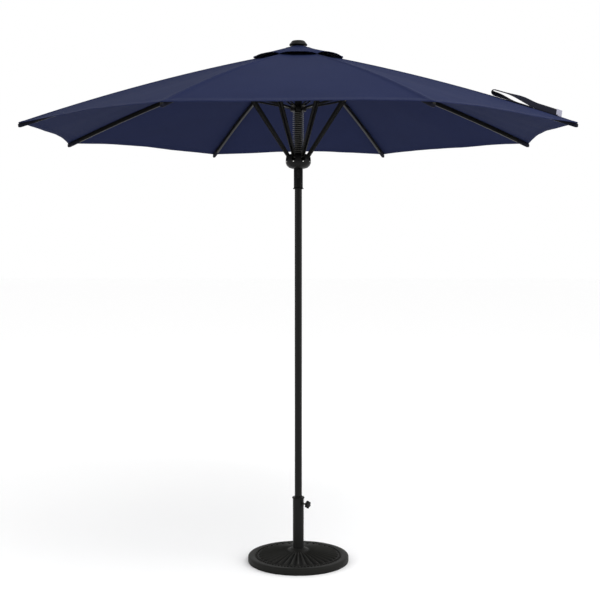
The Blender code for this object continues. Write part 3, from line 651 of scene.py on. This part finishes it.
def grown_mesh(name, lines, tree, finish, closed=False, **values):
    """Run a node tree on lines of points and return the plain mesh that it makes."""
    points = []
    edges = []
    for line in lines:
        start = len(points)
        points += [tuple(point) for point in line]
        edges += [(k, k + 1) for k in range(start, len(points) - 1)]
        if closed:
            edges.append((len(points) - 1, start))
    seed = bpy.data.meshes.new(name + "_seed")
    seed.from_pydata(points, edges, [])
    holder = bpy.data.objects.new(name + "_seed", seed)
    bpy.context.scene.collection.objects.link(holder)
    modifier = holder.modifiers.new("nodes", "NODES")
    modifier.node_group = tree.group
    modifier[tree.names["Material"]] = FINISHES[finish]
    for label, value in values.items():
        modifier[tree.names[label]] = value
    mesh = plain_mesh(holder)
    mesh.name = name
    holder.modifiers.remove(modifier)
    bpy.data.objects.remove(holder, do_unlink=True)
    mesh.shade_smooth()
    return mesh


# ---- Canopy ----
def gore_place(radius, side, offset):
    """Plan position on the chord from a rib to its neighbour, offset metres from the rib."""
    chord = 2 * radius * math.sin(STEP / 2)
    near = Vector((radius, 0))
    far = Vector((radius * math.cos(STEP), side * radius * math.sin(STEP)))
    return near.lerp(far, offset / chord), offset / chord


def cloth_ripple(point, dip, share):
    """Soft radial ripples, none over the ribs and more towards the hem."""
    seat = on_circle(7, math.atan2(point.y, point.x), point.xy.length * 1.1)
    slow = noise.noise(seat)
    quick = noise.noise(seat * 2.3 + Vector((3, 5, 7)))
    return (slow + 0.5 * quick) * dip * (0.35 + 0.65 * share)


def hem_radius(across):
    """Radius of the hem on the chord, at a share across the gore."""
    return CANOPY_RADIUS - HEM_SCALLOP * 4 * across * (1 - across)


def cloth_point(number, share, side, column, cloth):
    """A point of a rib's kite of cloth in the frame, and its place on the flat cloth."""
    seat = cloth.seam * 1.12
    across = column / KITE_COLUMNS / 2
    for _ in range(3):  # the hem's radius and the share across the gore settle together
        reach = INNER_RADIUS + (hem_radius(across) - INNER_RADIUS) * share
        half_chord = reach * math.sin(STEP / 2)
        if column <= 2:
            offset = (0, cloth.seam, seat)[column]
        else:
            part = (column - 2) / (KITE_COLUMNS - 2)
            offset = seat + (half_chord - seat) * part
        across = offset / (2 * half_chord)
    plan, across = gore_place(reach, side, offset)
    turned = from_rib(number, plan)
    dip = 4 * across * (1 - across)
    sag = GORE_SAG * dip * 4 * share * (1 - share)
    point = Vector((turned.x, turned.y, canopy_height(reach) - sag))
    point.z += cloth.ripple * cloth_ripple(point, dip, share)
    point.z += HEM_CURL * dip * share ** 8 * math.sin(5 * math.atan2(point.y, point.x) + 0.7)
    return point, (side * offset, reach * CLOTH_SLANT)


def canopy_rows(cloth):
    """Shares along the cloth, with close rows where the hem begins."""
    length = CANOPY_RADIUS - INNER_RADIUS
    fold = 0.0012 / length
    plain = 1 - cloth.hem / length
    rows = [plain * i / 34 for i in range(35)]
    return rows + [plain + fold, (1 + plain) / 2, 1 - fold, 1.0]


def make_canopy_panel(number, cloth):
    """One rib's kite of canvas, with its felled seam and folded hem."""
    rows = canopy_rows(cloth)
    hem_start = len(rows) - 4

    def lift_of(i, j):
        low = 0.0
        high = cloth.thickness
        if abs(j - KITE_COLUMNS) <= 1:
            high += cloth.thickness * 0.9
        if hem_start <= i < len(rows) - 1:
            high += cloth.thickness * 0.7
            low -= cloth.thickness * 0.5
        return low, high

    line = both_sides(KITE_COLUMNS)
    grid = [[cloth_point(number, share, *place, cloth) for place in line] for share in rows]
    mesh = two_layer_sheet(f"canopy_cloth_{number}", grid, lift_of)
    piece = mesh_object(mesh, "navy_canvas", f"rib_arm_{number}")
    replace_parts(piece, f"canopy_panel_{number}")
    return piece


def fold_to_rib(piece, number):
    """Give a cloth piece its own copy of its mesh."""
    angle = rib_angle(number)
    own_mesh(piece)


def stitch_lines(number, cloth):
    """Lines that the stitches of a kite follow: two by the seam and four half rows on the hem."""

    def line_over(places, layers):
        up = Vector((0, 0, cloth.thickness * layers))
        return [cloth_point(number, *place, cloth)[0] + up for place in places]

    lines = []
    for side in (-1, 1):
        lines.append(line_over([(i / 60, side, 1) for i in range(1, 60)], 1.9))
    length = CANOPY_RADIUS - INNER_RADIUS
    inset = 0.004
    for back in (inset, cloth.hem - inset):
        share = 1 - back / length
        for side in (-1, 1):
            places = [(share, side, column) for column in range(2, KITE_COLUMNS + 1)]
            lines.append(line_over(places, 1.7))
    return lines


def make_stitches(number, cloth, tree):
    """Sewing thread on one kite."""
    thick = 0.00045
    mesh = grown_mesh(
        f"canopy_stitches_{number}",
        stitch_lines(number, cloth),
        tree,
        "thread",
        Spacing=cloth.stitch,
        Size=(thick, thick, cloth.stitch * 0.34),
        Rings=3,
    )
    return mesh_object(mesh, "thread", f"rib_arm_{number}")


def flat_kite_area():
    """Area of one kite before it was hung, with its slant and without its ripples."""
    steps = 60
    depth = CANOPY_RADIUS - HEM_SCALLOP * 0.6 - INNER_RADIUS
    area = 0
    for k in range(steps):
        reach = INNER_RADIUS + depth * (k + 0.5) / steps
        width = 2 * reach * math.sin(STEP / 2) * math.cos(STEP / 4)
        area += width * depth / steps * math.hypot(1, canopy_slope(reach))
    return area


class UMBRELLA_OT_canopy(bpy.types.Operator):
    """Hang the canopy's cloth on the ribs and sew it"""

    bl_idname = "umbrella.canopy"
    bl_label = "Canopy"

    def execute(self, context):
        cloth = context.scene.umbrella_cloth
        tree = row_tree()
        width = 2 * CANOPY_RADIUS * math.sin(STEP / 2)
        length = (CANOPY_RADIUS - INNER_RADIUS) * math.hypot(1, canopy_slope(CANOPY_RADIUS / 2))
        for number in ribs():
            panel = make_canopy_panel(number, cloth)
            stitches = make_stitches(number, cloth, tree)
            fold_to_rib(panel, number)
            fold_to_rib(stitches, number)
            flat_kite_area()
        return {"FINISHED"}


# ---- Vent cover ----
def vent_lift(angle, share, across, flutter):
    """How far the vent cover stands up between its corners, gore by gore."""
    dip = 4 * across * (1 - across)
    gore = round((angle - FIRST_ANGLE - STEP / 2) / STEP) % RIB_COUNT
    reach = VENT_REACH[gore % len(VENT_REACH)]
    return flutter * reach * dip ** 0.8 * share ** 1.6


def vent_point(number, share, side, across, flutter):
    """A point of the vent cover in the frame, and its place on the flat cloth."""
    reach = VENT_LOW_RADIUS + (VENT_RADIUS - VENT_LOW_RADIUS) * share
    edge = canopy_height(VENT_RADIUS) + VENT_LIFT
    height = VENT_CROWN + (edge - VENT_CROWN) * share
    corner = max(share - VENT_CORNER, 0) / (1 - VENT_CORNER)
    height -= (VENT_LIFT - 0.0045) * corner * (1 - 4 * across * (1 - across)) ** 2
    chord = 2 * reach * math.sin(STEP / 2)
    plan, across = gore_place(reach, side, chord * across)
    turned = from_rib(number, plan)
    angle = math.atan2(turned.y, turned.x)
    height += vent_lift(angle, share, across, flutter)
    return Vector((turned.x, turned.y, height)), (side * across * chord, reach)


class UMBRELLA_OT_vent(bpy.types.Operator):
    """Make the vent cover, one wedge to each rib, and the ring at its middle"""

    bl_idname = "umbrella.vent"
    bl_label = "Vent cover"

    def wedge(self, number, rows, cloth):
        """The vent cover's cloth beside one rib."""

        def lift_of(i, j):
            high = cloth.thickness
            if j == VENT_COLUMNS:
                high += cloth.thickness * 0.8
            if i >= len(rows) - 2:
                high += cloth.thickness * 0.7
            return 0.0, high

        line = [(side, column / VENT_COLUMNS / 2) for side, column in both_sides(VENT_COLUMNS)]
        grid = [
            [vent_point(number, share, side, across, cloth.flutter) for side, across in line]
            for share in rows
        ]
        mesh = two_layer_sheet(f"vent_cloth_{number}", grid, lift_of)
        piece = mesh_object(mesh, "navy_canvas", f"rib_arm_{number}")
        fold_to_rib(piece, number)
        width = 2 * VENT_RADIUS * math.sin(STEP / 2)

    def crown(self, inner_share):
        """The ring of cloth round the pole, where the wedges' inner ends meet."""
        outer = VENT_LOW_RADIUS + (VENT_RADIUS - VENT_LOW_RADIUS) * inner_share * 1.06
        drop = VENT_CROWN - vent_point(1, inner_share, 1, 0, 0)[0].z

        def ridge(radius, height, angle):
            turn = (angle - FIRST_ANGLE) / STEP
            off = abs(turn - round(turn)) * STEP
            return 0.09 * radius * (1 - math.cos(STEP / 2) / math.cos(STEP / 2 - off))

        profile = [
            (VENT_LOW_RADIUS, VENT_CROWN),
            (outer, VENT_CROWN - drop * 1.06 + 0.0004),
            (outer, VENT_CROWN - drop * 1.06 + 0.0022),
            (VENT_LOW_RADIUS, VENT_CROWN + 0.0020),
        ]
        mesh = turned_mesh("vent_crown", profile, RIB_COUNT * 8, ridge)
        uv = mesh.uv_layers.new(name="Cloth")
        for loop in mesh.loops:
            uv.data[loop.index].uv = mesh.vertices[loop.vertex_index].co.xy
        piece = mesh_object(mesh, "navy_canvas", "pole")
        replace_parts(piece, "vent_cover")
        2 * outer
        2 * outer
        math.pi * (outer ** 2 - VENT_LOW_RADIUS ** 2)

    def execute(self, context):
        rows = [i / 14 for i in range(3, 14)] + [0.955, 1.0]
        for number in ribs():
            self.wedge(number, rows, context.scene.umbrella_cloth)
        self.crown(rows[0])
        return {"FINISHED"}


# ---- Closing strap ----
def smooth(share):
    """Ease from 0 to 1 as a share goes from 0 to 1."""
    share = min(max(share, 0), 1)
    return share * share * (3 - 2 * share)


class UMBRELLA_OT_strap(bpy.types.Operator):
    """Lay the closing strap in its loose arch near the last rib's tip"""

    bl_idname = "umbrella.strap"
    bl_label = "Closing strap"

    def route(self):
        """Radius, height over the cloth and lean along the strap's looped line."""
        sewn = STRAP_START + 0.185
        fold = STRAP_START + 0.014
        line = []
        for i in range(30):
            share = i / 29
            radius = sewn + (fold - sewn) * share
            line.append((radius, 0.0015 * share, 0.05 + 0.55 * smooth(share * 1.6 - 0.6)))
        for i in range(1, 10):
            turn = math.pi * i / 10
            rise = (1 - math.cos(turn)) / 2
            radius = fold - 0.016 * math.sin(turn)
            line.append((radius, 0.0015 + 0.0255 * rise, 0.60 - 0.50 * rise))
        for i in range(50):
            share = i / 49
            radius = fold + (STRAP_END - fold) * share
            lift = 0.0290 * (1 - smooth((share - 0.18) / 0.52)) - 0.0010
            line.append((radius, lift, 0.10 + 0.80 * smooth((share - 0.14) / 0.44)))
        return line

    def strip(self, name, route, half, finish, thick):
        """A band of webbing along a route of (radius, lift, lean) places."""
        columns = 3
        grid = []
        for i, (radius, lift, lean) in enumerate(route):
            line = []
            for j in range(-columns, columns + 1):
                side = half * j / columns
                across = (side - half * 0.25) * math.cos(lean)
                plan = from_rib(RIB_COUNT, Vector((radius, across)))
                rise = (side + half) * math.sin(lean)
                height = canopy_height(radius) + 0.0030 + lift + rise - 0.14 * abs(across)
                line.append((Vector((plan.x, plan.y, height)), (side, STRAP_ROW * i)))
            grid.append(line)

        def lift_of(i, j):
            return 0.0, thick * (0.8 if j in (0, 2 * columns) else 1.0)

        mesh = two_layer_sheet(name, grid, lift_of)
        piece = mesh_object(mesh, finish, f"rib_arm_{RIB_COUNT}")
        fold_to_rib(piece, RIB_COUNT)
        return piece

    def execute(self, context):
        band = self.strip("strap_band", self.route(), STRAP_HALF, "dark_webbing", 0.0020)
        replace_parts(band, "closing_strap")
        tail = [(STRAP_END - 0.006 + 0.0034 * i, 0.0004 - 0.0002 * i, 0.95) for i in range(8)]
        tape = self.strip("strap_tape", tail, STRAP_HALF * 0.98, "hook_tape", 0.0022)
        return {"FINISHED"}


# ---- Tip pockets ----
def squared(share):
    """Push a sine or cosine outwards, so that a round section turns boxy."""
    return math.copysign(abs(share) ** 0.6, share)


class UMBRELLA_OT_pockets(bpy.types.Operator):
    """Sew a pocket round each rib's tip"""

    bl_idname = "umbrella.pockets"
    bl_label = "Tip pockets"

    def execute(self, context):
        sections = (  # place along the rib from its tip, half width, half depth
            (-0.075, 0.0085, 0.0112),
            (-0.070, 0.0100, 0.0117),
            (-0.040, 0.0096, 0.0116),
            (-0.012, 0.0088, 0.0110),
            (-0.003, 0.0070, 0.0085),
            (0.001, 0.0035, 0.0040),
        )
        for number in ribs():
            self.pocket(number, sections)
        return {"FINISHED"}

    def pocket(self, number, sections):
        """One pocket, closed at both ends."""
        around = 20
        bm = bmesh.new()
        uv = bm.loops.layers.uv.new("Cloth")
        rings = []
        for along, wide, deep in sections:
            radius = CANOPY_RADIUS + along
            middle = canopy_height(radius) - RIB_RISE
            ring = []
            for k in range(around):
                turn = math.tau * k / around
                plan = from_rib(number, Vector((radius, wide * squared(math.cos(turn)))))
                up = deep * squared(math.sin(turn))
                ring.append(bm.verts.new((plan.x, plan.y, middle + up)))
            rings.append(ring)
        for low, high in zip(rings, rings[1:]):
            for k in range(around):
                after = (k + 1) % around
                face = bm.faces.new((low[k], low[after], high[after], high[k]))
                for loop in face.loops:
                    loop[uv].uv = (loop.vert.co.z, loop.vert.co.xy.length)
        bm.faces.new(rings[0])
        bm.faces.new(rings[-1])
        mesh = closed_mesh(bm, f"tip_pocket_{number}", 60)
        mesh_object(mesh, "dark_webbing", f"rib_arm_{number}")


# ---- Base ----
class UMBRELLA_OT_base(bpy.types.Operator):
    """Cast the base plate with its rays, rope ring and rounded rim"""

    bl_idname = "umbrella.base"
    bl_label = "Base plate"

    def execute(self, context):
        hardware = context.scene.umbrella_hardware
        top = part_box("base_plate")[1].z
        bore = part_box("base_tube")[1].x + 0.0003
        boss = bore + 0.009
        rim = 0.030
        dome = 0.062
        ray_in = boss + 0.012
        ray_out = BASE_RADIUS - 0.052
        ridges = hardware.ridges
        high = hardware.ridge_height

        def relief(radius, height, angle):
            if height < rim * 0.8 or not ray_in < radius < ray_out:
                return 0
            inner = min((radius - ray_in) / 0.030, 1)
            outer = min((ray_out - radius) / 0.008, 1)
            sharp = (0.5 + 0.5 * math.cos(ridges * angle)) ** 1.6
            broad = (radius - ray_in) / (ray_out - ray_in)
            return (sharp - 0.45) * high * inner * outer * (0.45 + 0.55 * broad)

        outer_line = (  # distance in from the outer edge, height
            (0.0321, rim - 0.013),
            (0.0221, 0),
            (0.003, 0),
            (0.001, 0.0012),
            (0, 0.004),
            (0, 0.014),
            (0.0004, rim - 0.006),
            (0.0014, rim - 0.0025),
            (0.0040, rim + 0.0005),
            (0.0090, rim + 0.0024),
            (0.014, rim + 0.0030),
            (0.030, rim + 0.0028),
            (0.034, rim + 0.0010),
            (0.050, rim + 0.0010),
        )
        profile = [(0, 0), (boss, 0), (boss + 0.004, dome - 0.019)]
        profile += [(BASE_RADIUS - inset, height) for inset, height in outer_line]
        rows = 26
        outer_height = rim + 0.0012
        for i in range(rows + 1):
            share = i / rows
            radius = ray_out + (boss + 0.016 - ray_out) * share
            height = outer_height + (dome - 0.004 - outer_height) * share ** 1.12
            profile.append((radius, height))
        profile += [
            (boss + 0.010, dome - 0.0015),
            (boss + 0.004, dome + 0.0005),
            (boss + 0.001, dome + 0.003),
            (boss - 0.0005, dome + 0.005),
            (boss - 0.0035, top),
            (bore, top),
            (bore, 0.008),
            (0, 0.008),
        ]
        mesh = turned_mesh("base_casting", profile, ridges * 12, relief)
        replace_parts(mesh_object(mesh, "cast_black", "base"), "base_plate")
        rope_radius = BASE_RADIUS - 0.042
        corners = 150
        beads = 80
        turns = [math.tau * i / corners for i in range(corners)]
        ring = [on_circle(rope_radius, turn, outer_height) for turn in turns]
        rope = grown_mesh(
            "base_rope_ring",
            [ring],
            row_tree(),
            "cast_black",
            closed=True,
            Spacing=math.tau * rope_radius / beads,
            Size=(0.0062, 0.0058, 0.0062),
            Rings=5,
        )
        mesh_object(rope, "cast_black", "base")
        return {"FINISHED"}


# ---- Bars, brackets and turned pieces ----
def refined(node, finish, edge, angle=32):
    """A copy of a frame node with its faces merged and its edges rounded."""
    bm = bmesh.new()
    bm.from_mesh(frame["nodes"][node].data)
    bmesh.ops.remove_doubles(bm, verts=bm.verts, dist=0.00002)
    flat = math.radians(0.6)
    bmesh.ops.dissolve_limit(bm, angle_limit=flat, verts=bm.verts, edges=bm.edges)
    mesh = bpy.data.meshes.new(node + "_piece")
    bm.to_mesh(mesh)
    bm.free()
    piece = mesh_object(mesh, finish, BODY_OF[node])
    bevel = piece.modifiers.new("edge", "BEVEL")
    bevel.width = edge
    bevel.segments = 2
    bevel.limit_method = "ANGLE"
    bevel.angle_limit = math.radians(angle)
    bevel.use_clamp_overlap = True
    final = plain_mesh(piece)
    piece.modifiers.remove(bevel)
    piece.data = final
    final.shade_smooth()
    final.set_sharp_from_angle(angle=math.radians(40))
    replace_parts(piece, node)


class UMBRELLA_OT_bars(bpy.types.Operator):
    """Round the edges of the ribs, struts, links and tips"""

    bl_idname = "umbrella.bars"
    bl_label = "Ribs, struts and links"

    def execute(self, context):
        edge = context.scene.umbrella_hardware.edge
        for number in ribs():
            refined(f"rib_{number}", "black_powder_coat", edge)
            refined(f"strut_{number}", "black_powder_coat", edge * 0.6)
            refined(f"link_{number}", "black_powder_coat", edge * 0.6)
            refined(f"rib_tip_{number}", "black_plastic", edge)
        return {"FINISHED"}


class UMBRELLA_OT_fittings(bpy.types.Operator):
    """Give the hubs, the runner and the clamp their edges, and the tubes their coat"""

    bl_idname = "umbrella.fittings"
    bl_label = "Fittings"

    def execute(self, context):
        edge = context.scene.umbrella_hardware.edge
        hubs = ("top_hub", "runner_ball", "slider_hub")
        fittings = ("runner_sleeve", "release_button", "clamp_knob", "tube_rim", "finial")
        for node in hubs + fittings:
            refined(node, "black_plastic", edge * 0.8, 40)
        slots = {part["node"]: part["material_slot"] for part in frame["record"]["subparts"]}
        for node, cad in frame["nodes"].items():
            if cad.hide_render:
                continue
            cad.data.materials.clear()
            cad.data.materials.append(FINISHES[slots[node]])
        return {"FINISHED"}


class UMBRELLA_OT_spring(bpy.types.Operator):
    """Wind the lift spring between the runner and the slider"""

    bl_idname = "umbrella.spring"
    bl_label = "Lift spring"

    def execute(self, context):
        hardware = context.scene.umbrella_hardware
        low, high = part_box("lift_spring")
        length = high.z - low.z
        wire = hardware.wire
        mesh = grown_mesh(
            "spring_coil",
            [[(0, 0, 0), (0, 0, 0.001)]],
            coil_tree(),
            "dark_steel",
            Turns=float(hardware.turns),
            Radius=high.x - wire,
            Length=length - 2 * wire,
            Foot=(0.0, 0.0, low.z + wire),
            Wire=wire,
        )
        coil = mesh_object(mesh, "dark_steel", "runner")
        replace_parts(coil, "lift_spring")
        runner_travel = JOINTS["runner_slide"]["range_m"][1]
        slider_travel = JOINTS["slider_slide"]["range_m"][1]
        keep = (length - slider_travel + runner_travel) / length
        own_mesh(coil)
        return {"FINISHED"}


def rivet_mesh(name, places):
    """Domed rivet heads, each a (point, outward direction, radius)."""
    bm = bmesh.new()
    for point, out, radius in places:
        turn = out.to_track_quat("Z", "Y").to_matrix().to_4x4()
        dome = bmesh.ops.create_uvsphere(bm, u_segments=14, v_segments=8, radius=radius)
        bmesh.ops.scale(bm, vec=(1, 1, 0.45), verts=dome["verts"])
        matrix = Matrix.Translation(point) @ turn
        bmesh.ops.transform(bm, matrix=matrix, verts=dome["verts"])
    return closed_mesh(bm, name, 70)


class UMBRELLA_OT_rivets(bpy.types.Operator):
    """Set the rivets at the strut and link heads, and the runner's screws"""

    bl_idname = "umbrella.rivets"
    bl_label = "Rivets"

    def execute(self, context):
        foot = Vector((RUNNER_PIVOT.xy.length, RUNNER_PIVOT.z))
        radius = PIVOT_RADIUS + STRUT_HEAD_OUT
        strut_head = Vector((radius, canopy_height(radius) - RIB_RISE))
        link_head = foot + (strut_head - foot).normalized() * LINK_HEAD_ALONG
        kinds = (  # name, pivot's radius and height, half the width over both heads, size
            ("strut", strut_head, 0.0081, 0.0040),
            ("link", link_head, 0.0101, 0.0032),
        )
        screw_drop, screw_sink, screw_size = 0.020, 0.0006, 0.0036
        screws = []
        for number in ribs():
            angle = rib_angle(number)
            side = Vector((-math.sin(angle), math.cos(angle), 0))
            for kind, head, wide, size in kinds:
                point = on_circle(head.x, angle, head.y)
                places = [(point + side * wide, side, size), (point - side * wide, -side, size)]
                mesh = rivet_mesh(f"{kind}_rivet_{number}", places)
                mesh_object(mesh, "dark_steel", f"{kind}_arm_{number}")
            seat = on_circle(RUNNER_RADIUS - screw_sink, angle, RUNNER_PIVOT.z - screw_drop)
            screws.append((seat, on_circle(1, angle, 0), screw_size))
        mesh = rivet_mesh("runner_screws", screws)
        mesh_object(mesh, "bright_zinc", "runner")
        return {"FINISHED"}


# ---- Studio ----
class UMBRELLA_OT_stage(bpy.types.Operator):
    """Set the floor, the soft lights and the camera"""

    bl_idname = "umbrella.stage"
    bl_label = "Studio"

    def execute(self, context):
        studio = context.scene.umbrella_studio
        bm = bmesh.new()
        bmesh.ops.create_grid(bm, x_segments=1, y_segments=1, size=40)
        mesh = bpy.data.meshes.new("studio_floor")
        bm.to_mesh(mesh)
        bm.free()
        floor = bpy.data.objects.new("studio_floor", mesh)
        context.scene.collection.objects.link(floor)
        mesh.materials.append(Finish("studio_paint", (0.985, 0.985, 0.985), 0.9).material)
        floor.location.z = -0.0005

        world = bpy.data.worlds.new("studio_world")
        world.use_nodes = True
        background = world.node_tree.nodes["Background"]
        background.inputs["Color"].default_value = (1, 1, 1, 1)
        background.inputs["Strength"].default_value = 1.0
        context.scene.world = world

        lights = (  # name, place, size, share of the key's power
            ("key", (1.8, -2.2, 5.2), 3.2, 1.0),
            ("left_fill", (-4.5, -2.5, 2.0), 2.5, 0.25),
            ("right_fill", (4.5, -1.5, 2.4), 2.5, 0.40),
        )
        target = Vector((0, 0, 1.6))
        for name, place, size, share in lights:
            data = bpy.data.lights.new(name, "AREA")
            data.shape = "DISK"
            data.size = size
            data.energy = studio.key * share
            lamp = bpy.data.objects.new(name, data)
            lamp.location = place
            lamp.rotation_mode = "QUATERNION"
            lamp.rotation_quaternion = (target - Vector(place)).to_track_quat("-Z", "Y")
            context.scene.collection.objects.link(lamp)

        data = bpy.data.cameras.new("studio_camera")
        data.lens = studio.lens
        data.sensor_width = 36
        camera = bpy.data.objects.new("studio_camera", data)
        camera.location = (0.0084, -studio.distance, studio.height)
        camera.rotation_euler = (math.pi / 2 - studio.dip, 0, 0)
        context.scene.collection.objects.link(camera)
        context.scene.camera = camera
        context.scene.view_settings.view_transform = "Standard"
        return {"FINISHED"}


class UMBRELLA_PT_panel(bpy.types.Panel):
    """Lists the umbrella's makers and sizes."""

    bl_label = "Patio umbrella"
    bl_idname = "UMBRELLA_PT_panel"
    bl_space_type = "VIEW_3D"
    bl_region_type = "UI"
    bl_category = "Umbrella"

    def draw(self, context):
        layout = self.layout
        for maker in MAKERS:
            layout.operator(maker.bl_idname)
        for group in GROUPS:
            box = layout.box()
            data = getattr(context.scene, group)
            for name in data.__annotations__:
                box.prop(data, name)


MAKERS = (
    UMBRELLA_OT_stage,
    UMBRELLA_OT_pockets,
    UMBRELLA_OT_canopy,
    UMBRELLA_OT_vent,
    UMBRELLA_OT_strap,
    UMBRELLA_OT_base,
    UMBRELLA_OT_bars,
    UMBRELLA_OT_spring,
    UMBRELLA_OT_rivets,
    UMBRELLA_OT_fittings,
)
GROUPS = {
    "umbrella_cloth": UmbrellaCloth,
    "umbrella_hardware": UmbrellaHardware,
    "umbrella_studio": UmbrellaStudio,
}


def register():
    """Register every class and the scene's groups of settings."""
    for name, group in GROUPS.items():
        bpy.utils.register_class(group)
        setattr(bpy.types.Scene, name, bpy.props.PointerProperty(type=group))
    for maker in MAKERS:
        bpy.utils.register_class(maker)
    bpy.utils.register_class(UMBRELLA_PT_panel)


def unregister():
    """Undo register."""
    bpy.utils.unregister_class(UMBRELLA_PT_panel)
    for maker in reversed(MAKERS):
        bpy.utils.unregister_class(maker)
    for name, group in reversed(GROUPS.items()):
        delattr(bpy.types.Scene, name)
        bpy.utils.unregister_class(group)


def main():
    """Run every maker in order."""
    register()
    make_finishes(bpy.context.scene)
    for maker in MAKERS:
        name = maker.bl_idname.split(".")[1]
        getattr(bpy.ops.umbrella, name)()


if __name__ == "__main__":
    main()
